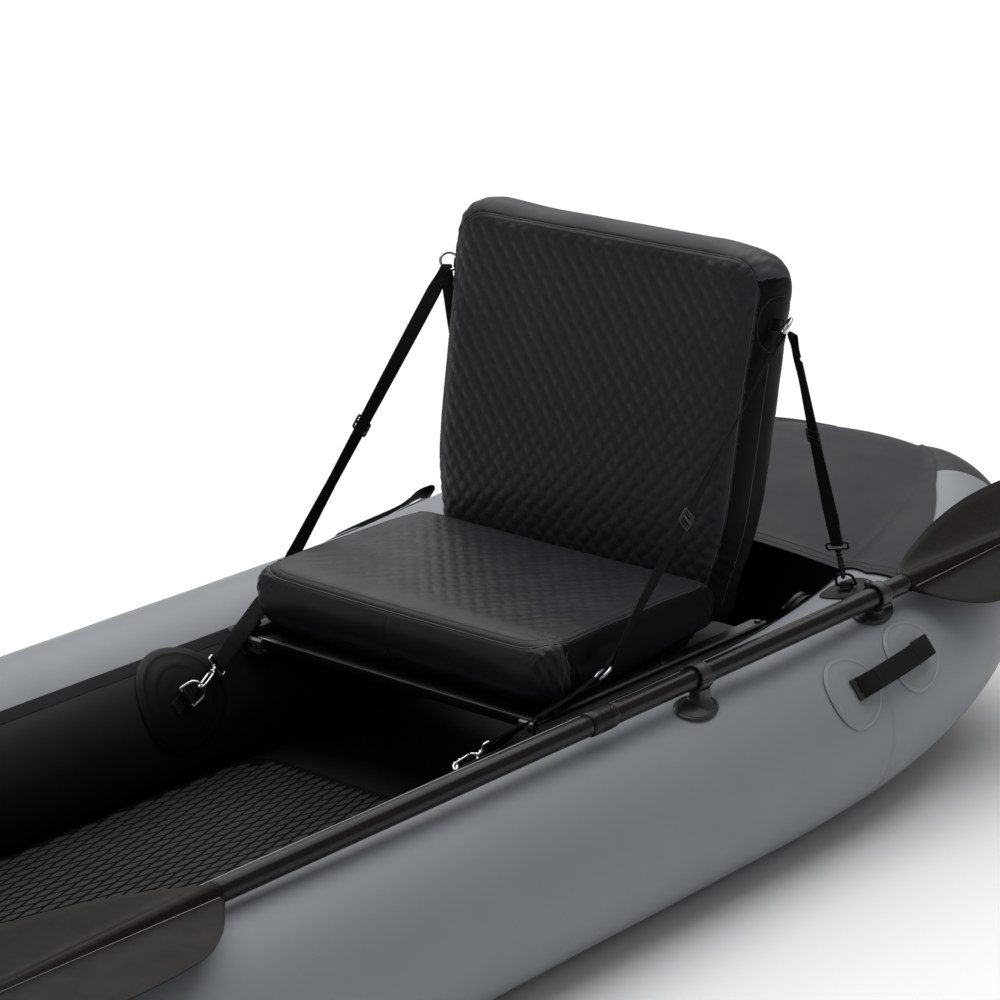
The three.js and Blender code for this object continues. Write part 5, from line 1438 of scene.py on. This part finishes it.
def anchor_set(name, y, phi, R, ring_to, ring_w, ring_h, rise, metal):
    foot = skin(y, phi, 6.4)
    n = normal_at(y, phi)
    pull = ring_to - foot
    flat = unit(pull - n * (pull @ n))
    bar = unit(np.cross(n, flat))
    a = math.radians(rise)
    lean = unit(flat * math.cos(a) + n * math.sin(a))
    f = Frame(foot, bar, np.cross(lean, bar), lean)
    wire = f(np.array([0.0, 0, ring_h]))
    b = patch(y, phi, R, raised=(0.87, 0.62, 0.42) if R > 50 else (0.8,))
    # the sewn tab whose fold holds the bar of the ring
    tf = Frame(foot, bar, unit(np.cross(n, bar)), n)
    hw = ring_w / 2 - 5.0
    L = 24.0 if R > 50 else 15.0
    prof = [(-L, -3.6), (-L * 0.6, -3.2), (-7, -2.0), (-3.2, 2.4), (0, 3.6), (3.2, 2.4), (7, -2.0), (L * 0.6, -3.2), (L, -3.6)]
    path = spline([tf(np.array([0, c, z])) for c, z in prof], 48)
    ribbon(b, path, bar, hw * 2, 1.5, 1)
    for c in (L * 0.5, L * 0.85, -L * 0.5, -L * 0.85):
        zz = np.interp(abs(c), [7, L * 0.6, L], [-2.0, -3.2, -3.6]) + 0.9
        seg = resample([tf(np.array([-hw + 2, c, zz])), tf(np.array([hw - 2, c, zz]))], 1.5)
        stitches(b, seg, np.array([n] * len(seg)), 2.2, 1.1, 0.3, 2)
    make_pair(name + "_patch", b, [PATCH_B if R > 50 else TAPE, WEB, THREAD], "hull", angle=30, slot="fabric_dark")
    b = Build()
    dring(b, f, ring_w, ring_h, 1.95)
    make_pair(name + "_dring", b, [metal], "hull", angle=60)
    hf = hook_frame(wire, ring_to - wire, bar)
    b = Build()
    snap_hook(b, hf)
    make_pair(name + "_snap_hook", b, [metal], "hull", angle=50)
    b = Build()
    snap_gate(b, hf)
    make_pair(name + "_snap_gate", b, [metal], name + "_snap_gate_{}", angle=50)
    return hf(np.array([0.0, 0, 47.0])), hf.m[0]


def rigging():
    b = Build()
    wire_ring(b, RING_BACK, RBX, RBY, 13.0, 2.15)
    make_pair("backrest_ring", b, [STEEL], "backrest", angle=60)
    mid = np.array([0.125, 0.848, 0.513])
    mid = mid / np.linalg.norm(mid)
    w = np.array([0.86, -0.34, 0.38])
    w = unit(w - mid * (w @ mid))
    b = Build()
    wire_ring(b, RING_CUSHION, w, mid, 13.0, 1.95)
    make_pair("cushion_ring", b, [STEEL], "hull", angle=60)
    low, high = RING_CUSHION - mid * 13.0, RING_CUSHION + mid * 13.0
    low_cad = RING_CUSHION - mid * 15.6
    bar0, ax = anchor_set("front", 331, 155, 75, low_cad, 30, 26, 38, STEEL)
    ax = ax * np.sign(ax @ w)
    # hull to ring
    b = Build()
    strap_between(b, bar0, ax, low, w, ([0, 0.12, 0.55, 1], [0, 0.05, 1, 1]), 24.0, ends=(22.0, 17.0), tails=(40, 30))
    make_pair("front_strap_lower", b, [WEB, THREAD], "hull", angle=50)
    # ring to backrest
    top = RING_BACK - RBY * 13.0
    flat_w = np.array([0, -0.67, 0.74])
    d = unit(top - high)
    fw = unit(flat_w - d * (flat_w @ d))
    rb = unit(RBX - d * (RBX @ d))
    ww = unit(w - d * (w @ d))
    L = np.linalg.norm(top - high)
    rows = ([0, 0.08, 0.3, 0.5, 0.7, 0.9, 1.0], [0, 0.7, 1.0, 1.25, 1.6, 2.0, 2.0])

    def upper(k):
        bb = Build()
        strap_two(bb, high, ww, fw, top, rb, rows, 20.0)
        tw = unit(lerp(fw, rb, 0.15))
        n = np.cross(tw, d)
        n = n * np.sign(n @ np.array([0.61, -0.73, 0.3]))
        triglide(bb, high + d * (k * L), d, tw, n, 20.0, 2)
        return bb

    # the two sliders are drawn up to different places
    make_straps("front_strap_upper", upper(0.435), "front", upper(0.477))
    # backrest to the hull behind the seat
    topr = RING_BACK + RBBACK * 13.0
    bar1, ax1 = anchor_set("rear", 1033, 100, 38, RING_BACK + RBBACK * 15.6, 26, 20, 62, BLACK_METAL)
    b = Build()
    d = unit(topr - bar1)
    L = np.linalg.norm(topr - bar1)
    a1 = unit(ax1 - d * (ax1 @ d))
    rb = unit(RBX - d * (RBX @ d))
    rb = rb * np.sign(rb @ a1)
    strap_two(b, bar1, a1, unit(a1 + rb), topr, rb, ([0, 0.375, 0.75, 1.0], [0, 1.0, 2.0, 2.0]), 20.0)
    c = bar1 + d * (0.52 * L)
    tw = unit(lerp(a1, rb, 0.8))
    n = np.cross(tw, d)
    n = n * np.sign(n @ np.array([0.61, -0.73, 0.3]))
    triglide(b, c, d, tw, n, 20.0, 2)
    # the doubled run above the slider
    p, aw = frames_between(c - d * 8, topr - d * 34, 40, tw, rb)
    ribbon(b, spline([c - d * 16 - n * 1.2, c - n * 2.6, c + d * 16 - n * 1.9] + [q - n * 1.75 for q in p[8::6]], 60), np.array([unit(lerp(tw, rb, k)) for k in np.linspace(0, 1, 60)]), 18.5, 1.4)
    make_straps("rear_strap", b, "rear")


def strap_two(b, e0, wa, wb, e1, wc, turn, width):
    """As strap_between, through a middle direction: the turn runs from 0 through 1 to 2."""
    d = unit(e1 - e0)
    L = float(np.linalg.norm(e1 - e0))

    def wdir(s):
        k = np.interp(s / L, *turn)
        return unit(lerp(wa, wb, min(k, 1.0)) if k <= 1 else lerp(wb, wc, k - 1))

    n0, n1 = np.cross(wdir(0), -d), np.cross(wdir(L), d)
    view = np.array([0.61, -0.73, 0.3])
    pts = wrap(e0, -d, n0, tail=30.0)[::-1]
    for s in np.linspace(34.0, L - 34.0, int((L - 68) / 9)):
        k = (s - 34) / (L - 68)
        pts.append(e0 + d * s + n0 * 0.95 * (1 - ramp(k, 0, 0.12)) + n1 * 0.95 * ramp(k, 0.88, 1))
    pts += wrap(e1, d, n1, tail=30.0)
    p = spline(pts, int(L / 3.0))
    s = (p - e0) @ d
    w = np.array([wdir(min(max(q, 0), L)) for q in s])
    wid = lerp(15.5, width, ramp(np.minimum(s, L - s), 6, 40))
    ribbon(b, p, w, wid, 1.5)
    for e, dd, nn, wv in ((e0, d, n0, wdir(10)), (e1, -d, n1, wdir(L - 10))):
        q = lambda a, c: e + dd * a + nn * 1.8 + wv * c
        for s_, e_ in (((16, -5), (16, 5)), ((27, -6), (27, 6)), ((16, -5), (27, 6)), ((16, 5), (27, -6))):
            seg = resample([q(*s_), q(*e_)], 1.5)
            stitches(b, seg, np.array([nn] * len(seg)), 2.0, 0.9, 0.28, 1)


def make_straps(stem, b, which, other=None):
    """Both sides' straps, which run from the hull to the backrest: the starboard one mirrors other when it is given,
    else b.
    """
    for side, bb in (("port", b), ("starboard", (other or b).mirrored())):
        sx = 1 if side == "port" else -1
        o = make(f"{stem}_{side}_v", bb, [WEB, THREAD, PLASTIC], None, [f"{stem}_{side}"], angle=50, slot="webbing")
        pts = np.concatenate(bb.v)
        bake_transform(o)


# ---- paddle ----------------------------------------------------------------------------------------
def rotated(deg):
    a = math.radians(deg)
    w = np.array([-math.cos(a), 0, math.sin(a)])
    return unit(w - SHAFT_DIR * (w @ SHAFT_DIR))


def shaft_frame(y):
    x = rotated(0)
    return Frame(shaft_at(y), x, np.cross(SHAFT_DIR, x), SHAFT_DIR)


def shaft_piece(name, y0, y1, body):
    L = (y1 - y0) / SHAFT_DIR[1]
    b = Build()
    r = SHAFT_R - 0.02
    prof = [(0, 0), (r - 1.5, 0), (r - 0.3, 0.5), (r, 1.6)] + [(r, z) for z in np.linspace(12, L - 12, 40)] + [(r, L - 1.6), (r - 0.3, L - 0.5), (r - 1.5, L), (0, L)]
    lathe(b, prof, shaft_frame(y0), 48)
    make(name + "_v", b, [SHAFT], body, [name], angle=40)


def blade_piece(name, y0, d, tilt, body):
    rows = [[0, 13, 15], [18, 24, 34], [50, 38, 63], [95, 52, 86], [160, 68, 95], [240, 81, 97], [320, 87, 96], [385, 86, 90], [430, 76, 76], [455, 58, 52], [470, 26, 18]]
    dense = spline(rows, 90)
    w = rotated(tilt)
    n = np.cross(SHAFT_DIR, w)
    m = 41
    hs = np.linspace(-1, 1, m)
    hs = np.sign(hs) * np.abs(hs) ** 1.25
    top, low = [], []
    last = len(dense) - 1
    for i, (s, a, o) in enumerate(dense):
        s = min(max(s, 0), 470)
        c = shaft_at(y0) + SHAFT_DIR * d * s
        sp = lerp(SHAFT_R, 2.6, min(1, s / 430)) + 0.3
        cup = 7 * math.sin(math.pi * min(1, s / 470))
        rt, rl = [], []
        for q in hs:
            h = a * q if q > 0 else o * q
            g = abs(q) ** 1.5
            e = lerp(1.75, 0.85, ramp(abs(q), 0.86, 1.0))
            mid = cup * g
            hump = math.sqrt(max(0, sp * sp - h * h)) if abs(h) < sp else 0.0
            # the spine runs out in a fillet
            soft = sp * 0.42 * math.exp(-max(0.0, abs(h) - sp * 0.8) / (sp * 0.35 + 1.2)) if abs(h) > sp * 0.8 else 0.0
            up = max(hump, e + soft)
            dn = max(hump * 0.8, e)
            rt.append(c + w * h + n * (mid + up if up > e else mid + e))
            rl.append(c + w * h + n * (mid - dn))
        top.append(rt)
        low.append(rl)
    b = Build()
    sheet(b, np.array(top), np.array(low))
    # moulded ridge where the spine meets the face, light and glossy as a painted highlight line
    ridge = []
    for q in np.linspace(8, 330, 60):
        sp = lerp(SHAFT_R, 2.6, min(1, q / 430)) + 0.3
        o = np.interp(q, [r[0] for r in rows], [r[2] for r in rows])
        h = -(sp * 1.04 + 0.6)
        up = 1.75 + sp * 0.42 * math.exp(-(sp * 0.24 + 0.6) / (sp * 0.35 + 1.2)) + 7 * math.sin(math.pi * q / 470) * (abs(h) / o) ** 1.5
        ridge.append(shaft_at(y0) + SHAFT_DIR * d * q + w * h + n * (up + 0.15))
    sweep(b, np.array(ridge), np.linspace(0.8, 0.45, 60), 8, mat=1)
    make(name + "_v", b, [BLADE, BLADE_RIDGE_HIGHLIGHT], body, [name], angle=50)


def paddle():
    shaft_piece("paddle_rear_shaft", 438.0, 1053.6, "paddle_rear")
    shaft_piece("paddle_front_shaft", -225.6, 390.0, "paddle_front")
    b = Build()
    f = shaft_frame(414.0)
    prof = [(0, -23.4), (14.0, -23.4), (14.6, -22.6), (15.2, -20.8), (15.5, -19.5), (15.5, -12)]
    for k in range(7):
        z = -9 + k * 3.0
        prof += [(15.5, z - 0.9), (15.1, z - 0.5), (15.1, z + 0.5), (15.5, z + 0.9)]
    prof += [(15.5, 12), (15.5, 19.5), (15.2, 20.8), (14.6, 22.6), (14.0, 23.4), (0, 23.4)]
    lathe(b, prof, f, 48)
    side = unit(np.array([0.5, -0.02, 0.85]))
    side = unit(side - SHAFT_DIR * (side @ SHAFT_DIR))
    o = f(np.array([0.0, 0, 15.5]))
    lathe(b, [(0, 13.5), (3.1, 13.5), (3.1, 15.9), (2.7, 16.6), (1.4, 16.95), (0, 17.0)], Frame(o, SHAFT_DIR, np.cross(side, SHAFT_DIR), side), 20, 1)
    make("paddle_ferrule_v", b, [SHAFT, BLACK_METAL], "paddle_rear", ["paddle_ferrule"], angle=35, slot="plastic_black")
    blade_piece("paddle_rear_blade", 1054.0, 1, 26, "paddle_rear")
    blade_piece("paddle_front_blade", -226.0, -1, 11, "paddle_front")


def clips():
    # the forward clip leans in from a pad that sits lower and further forward on the tube
    for name, y, lean, ahead in (("forward", 605.0, -7.0, -12.0), ("aft", 994.0, 0.0, 0.0)):
        s = shaft_at(y)
        t, cx, cz, r, sl = (float(v) for v in line(y))
        phi = math.degrees(math.atan2(s[2] - cz, s[0] - cx)) + lean
        foot = skin(y, phi, 0)
        up = unit(s - foot)
        side = unit(np.cross(SHAFT_DIR, up))
        if side[0] < 0:
            side = -side
        f = Frame(s, side, SHAFT_DIR, up)
        gap = float(np.linalg.norm(s - foot))
        per = TUBE_R * math.pi / 180
        b = Build()
        n = 56
        a = np.arange(n) / n * 2 * np.pi
        ring = lambda q, off: skin(y + ahead + 37 * q * np.cos(a), phi + 23.5 * q * np.sin(a) / per, off)
        rows = [ring(q, o) for q, o in ((0.02, 5.5), (0.45, 5.3), (0.56, 4.9), (0.74, 4.3), (0.90, 3.75), (0.965, 3.3), (1.0, 2.4), (1.0, 1.5), (0.985, 1.25), (0.5, 1.25), (0.02, 1.25))]
        loft(b, np.array(rows))
        # the flange's edge carries a shallow rib
        rib = skin(y + ahead + 37 * 0.84 * np.cos(a), phi + 23.5 * 0.84 * np.sin(a) / per, 4.2)
        sweep(b, rib, 0.55, 8, True)
        # waisted post
        rows = []
        n0 = normal_at(y, phi)
        nx, nz = float(n0 @ side), float(n0 @ up)
        for k in np.linspace(0, 1, 12):
            z = lerp(-gap + 3.4, -SHAFT_R - 2.6, k)
            q = 12.4 - 1.5 * math.sin(math.pi * k) + 2.6 * (1 - k) ** 3
            sec = np.array([(q * 1.02 * math.copysign(abs(math.cos(c)) ** 0.6, math.cos(c)), q * math.copysign(abs(math.sin(c)) ** 0.6, math.sin(c)), z) for c in a[::2]])
            # its foot is cut parallel to the skin
            foot_z = -gap + (3.5 - nx * sec[:, 0]) / nz
            sec[:, 2] = lerp(foot_z, -SHAFT_R - 2.6, k)
            rows.append(f(sec))
        loft(b, np.array(rows))

        def arc(r0, r1, a0, a1, half, count, mat=0, bb=b, lip=1.0):
            rows = []
            for k, ang in enumerate(np.linspace(a0, a1, count)):
                c, s_ = math.cos(math.radians(ang)), math.sin(math.radians(ang))
                sec = []
                e = 0.9
                for rr, yy in ((r0, -half + e), (r0, half - e), (r0 + e, half), (r1 - e, half), (r1, half - e), (r1, -half + e), (r1 - e, -half), (r0 + e, -half)):
                    sec.append((rr * c, yy, rr * s_))
                rows.append(f(np.array(sec)))
            loft(bb, np.array(rows), mat)

        arc(SHAFT_R + 0.65, SHAFT_R + 4.9, 190, 350, 12.0, 30)
        # ribs under the cradle
        for yy in (-8.2, 8.2):
            rows = []
            for ang in np.linspace(205, 335, 20):
                c, s_ = math.cos(math.radians(ang)), math.sin(math.radians(ang))
                rows.append(f(np.array([(rr * c, yy + dy, rr * s_) for rr, dy in ((SHAFT_R + 4.2, -1.1), (SHAFT_R + 5.0, -0.9), (SHAFT_R + 5.0, 0.9), (SHAFT_R + 4.2, 1.1))])))
            loft(b, np.array(rows))
        boxed(b, f, (SHAFT_R + 1.6, -12, -9), (SHAFT_R + 5.2, 12, -4.5), 0, 1.1)
        make(name + "_clip_base_v", b, [PLASTIC], "hull", [name + "_clip_base"], angle=38)
        b = Build()
        arc(SHAFT_R + 0.75, SHAFT_R + 4.6, -3.5, 181.5, 10.0, 36, bb=b)
        # hinge knuckle
        sweep(b, f(np.array([(SHAFT_R + 3.4, -9.4, -1.0), (SHAFT_R + 3.4, 9.4, -1.0)])), 1.5, 14)
        # two raised bands and the pull ball
        for yy in (-6.4, 6.4):
            rows = []
            for ang in np.linspace(8, 172, 28):
                c, s_ = math.cos(math.radians(ang)), math.sin(math.radians(ang))
                rows.append(f(np.array([(rr * c, yy + dy, rr * s_) for rr, dy in ((SHAFT_R + 4.3, -1.2), (SHAFT_R + 4.95, -0.8), (SHAFT_R + 4.95, 0.8), (SHAFT_R + 4.3, 1.2))])))
            loft(b, np.array(rows))
        c = f(np.array([-(SHAFT_R + 5.5), 0.0, 6.0]))
        prof = [(0, -5.2)] + [(5.2 * math.sin(q), -5.2 * math.cos(q)) for q in np.linspace(0.16, math.pi - 0.16, 15)] + [(0, 5.2)]
        lathe(b, prof, Frame(c, f.m[0], f.m[1], f.m[2]), 24)
        sweep(b, f(np.array([(-(SHAFT_R + 3.4), 0, 2.6), (-(SHAFT_R + 4.4), 0, 4.6)])), 2.4, 12)
        make(name + "_clip_keeper_v", b, [PLASTIC], name + "_clip_keeper", [name + "_clip_keeper"], angle=38)


# ---- side handles ----------------------------------------------------------------------------------
def handles():
    y0, y1 = 859.0, 1017.0
    spots = [(y0 + 1, 6.4), (y0 + 4, 10), (y0 + 14, 15.2), (y0 + 34, 18), (y0 + 85, 19), (y1 - 40, 19.2), (y1 - 12, 18.6), (y1 - 2.2, 15.2), (y1 - 3.4, 10.6), (y1 - 12, 8.6), (y1 - 22, 7.6)]
    w = np.cross(normal_at(944, 37), along_at(944, 37))
    # the one on the starboard side has been pulled up at its aft end
    raised = [(y0 + 1, 6.4), (y0 + 4, 9), (y0 + 14, 11.5), (y0 + 60, 13.0), (y0 + 130, 13.5), (y1 + 2, 18), (y1 + 20, 23.5), (y1 + 34, 25), (y1 + 48, 24), (y1 + 51, 20), (y1 + 44, 14), (y1 + 20, 9.6), (y1 - 4, 8.4), (y1 - 22, 7.6)]
    for side, pts, sewn in (("port", spots, ((y0 + 30, 18.9), (y0 + 40, 18.9), (y1 - 52, 20.2), (y1 - 42, 20.2))), ("starboard", raised, ((y0 + 40, 13.3), (y0 + 50, 13.6)))):
        b = Build()
        ribbon(b, spline([skin(y, 37, off) for y, off in pts], 120), w, 29.0, 2.0)
        for yy, off in sewn:
            seg = resample([skin(yy, 37, off + 0.3) + w * 12, skin(yy, 37, off + 0.3) - w * 12], 1.5)
            stitches(b, seg, np.array([normal_at(yy, 37)] * len(seg)), 2.4, 1.1, 0.32, 1)
        make(f"side_handle_{side}_v", b if side == "port" else b.mirrored(), [WEB, THREAD], f"side_handle_{side}", [f"side_handle_{side}"], angle=50)
    # the round patches that hold its ends, on the skin
    b = Build()
    for yc in (855.0, 992.0):
        p = patch(yc, 37, 50, raised=(0.90, 0.66), tall=2.0)
        scaled = p.v[0]
        b.add(scaled, [tuple(f) for f in p.f], 0)
    for sx, bb in (("port", b), ("starboard", b.mirrored())):
        make(f"handle_patch_{sx}_v", bb, [PATCH], "hull", angle=30)
    # plates under the handle's ends
    b = Build()
    for yc, off in ((y0 + 2, 3.6), (y1 - 14, 3.6)):
        f = skin_frame(yc, 37, off)
        boxed(b, f, (-9, -15.5, -1.2), (9, 15.5, 3.0), 0, 1.4)
        for sy in (-1, 1):
            lathe(b, [(0, 2.6), (3.0, 2.6), (3.0, 3.4), (2.3, 4.0), (0, 4.2)], Frame(f(np.array([0.0, sy * 9.5, 0])), f.m[0], f.m[1], f.m[2]), 16, 0)
    for sx, bb in (("port", b), ("starboard", b.mirrored())):
        make(f"handle_anchor_{sx}_v", bb, [PLASTIC], "hull", angle=35)


# ---- inflation valves --------------------------------------------------------------------------------
def valves():
    vf = skin_frame(1062, 150)
    z0, z1 = 68 + float(floor_lift(940)), 68 + float(floor_lift(1040))
    yv = unit(np.array([0, 100, z1 - z0]))
    ff = Frame((130, 985, lerp(z0, z1, 0.45)), X, yv, np.cross(X, yv))
    body_p = [(0, -27), (21.5, -27), (21.8, 1.5), (28.6, 1.7), (29.0, 2.2), (28.8, 3.3), (27.5, 3.9), (24.6, 4.8), (24.0, 5.6), (24.0, 8.6), (23.5, 9.0), (20.5, 9.0), (0, 9.0)]
    cap_p = [(0, 9.45), (26.1, 9.45), (26.5, 9.9), (26.5, 13.1), (25.9, 14.2), (24.4, 14.9), (14, 15.0), (0, 15.0)]

    def body_b(fr):
        b = Build()
        lathe(b, body_p, fr, 48)
        for k in range(24):
            a = k * math.pi / 12
            boxed(b, Frame(fr(np.array([24.1 * math.cos(a), 24.1 * math.sin(a), 6.8])), fr.m[0] * math.cos(a) + fr.m[1] * math.sin(a), -fr.m[0] * math.sin(a) + fr.m[1] * math.cos(a), fr.m[2]), (-0.6, -0.9, -1.6), (0.75, 0.9, 1.6), 0, 0.3)
        return b

    def cap_b(fr):
        b = Build()
        lathe(b, cap_p, fr, 48)
        boxed(b, fr, (-18, -3, 14.4), (18, 3, 18.4), 0, 1.3)
        for k in range(36):
            a = k * math.pi / 18
            boxed(b, Frame(fr(np.array([26.2 * math.cos(a), 26.2 * math.sin(a), 11.5])), fr.m[0] * math.cos(a) + fr.m[1] * math.sin(a), -fr.m[0] * math.sin(a) + fr.m[1] * math.cos(a), fr.m[2]), (-0.5, -0.8, -1.5), (0.5, 0.8, 1.5), 0, 0.25)
        return b

    for stem, nodes, bodies, build in (("tube_valve", "tube_valve", "hull", body_b), ("tube_valve_cap", "tube_valve_cap", "tube_valve_cap_{}", cap_b)):
        make_pair(stem, build(vf), [PLASTIC], bodies, angle=35)
    make("floor_valve_v", body_b(ff), [PLASTIC], "hull", ["floor_valve"], angle=35)
    make("floor_valve_cap_v", cap_b(ff), [PLASTIC], "floor_valve_cap", ["floor_valve_cap"], angle=35)


# ---- stage -------------------------------------------------------------------------------------------
def stage():
    sc = bpy.context.scene
    me = bpy.data.meshes.new("floor")
    s = 40.0
    me.from_pydata([(-s, -s, 0), (s, -s, 0), (s, s, 0), (-s, s, 0)], [], [(0, 1, 2, 3)])
    fm = bpy.data.materials.new("floor")
    fm.use_nodes = True
    bs = fm.node_tree.nodes["Principled BSDF"]
    bs.inputs["Base Color"].default_value = (0.9, 0.9, 0.9, 1)
    bs.inputs["Roughness"].default_value = 0.9
    bs.inputs["Specular IOR Level"].default_value = 0.1
    me.materials.append(fm)
    floor = bpy.data.objects.new("floor", me)
    floor.location = (0, 0, -0.001)
    sc.collection.objects.link(floor)
    w = bpy.data.worlds.new("studio")
    sc.world = w
    w.use_nodes = True
    w.node_tree.nodes["Background"].inputs[0].default_value = (1.0, 1.0, 1.0, 1)
    w.node_tree.nodes["Background"].inputs[1].default_value = 0.25

    def area(name, loc, target, size, power, size_y=None):
        l = bpy.data.lights.new(name, "AREA")
        l.energy = power
        l.shape = "RECTANGLE"
        l.size, l.size_y = size, size_y or size
        o = bpy.data.objects.new(name, l)
        o.location = loc
        o.rotation_euler = (Vector(target) - Vector(loc)).to_track_quat("-Z", "Y").to_euler()
        sc.collection.objects.link(o)

    sun = bpy.data.lights.new("softbox", "SUN")
    sun.energy, sun.angle = 3.0, math.radians(80)
    so = bpy.data.objects.new("softbox", sun)
    so.rotation_euler = (-Vector((-0.30, 0.24, 0.92))).to_track_quat("-Z", "Y").to_euler()
    sc.collection.objects.link(so)
    area("rear_left", (-4.6, 5.6, 2.3), (0, 0.7, 0.4), 4.2, 14, 2.0)
    cam = bpy.data.cameras.new("camera")
    cam.lens, cam.sensor_width, cam.sensor_fit = 118.8, 36.0, "HORIZONTAL"
    cam.clip_start, cam.clip_end = 0.1, 200
    co = bpy.data.objects.new("camera", cam)
    co.location = (np.array([2666.0, -2486.0, 1724.0]) + SHIFT) / 1000
    co.rotation_mode = "QUATERNION"
    co.rotation_quaternion = (-Vector((0.6130, -0.7306, 0.3007))).to_track_quat("-Z", "Y")
    sc.collection.objects.link(co)
    sc.camera = co
    sc.view_settings.view_transform = "Standard"


stage()
tube_pair()
floor_and_bottom()
mat_piece()
deck(1, "stern_deck")
deck(-1, "bow_deck")
bench()
seat_cushion()
backrest()
rigging()
paddle()
clips()
handles()
valves()
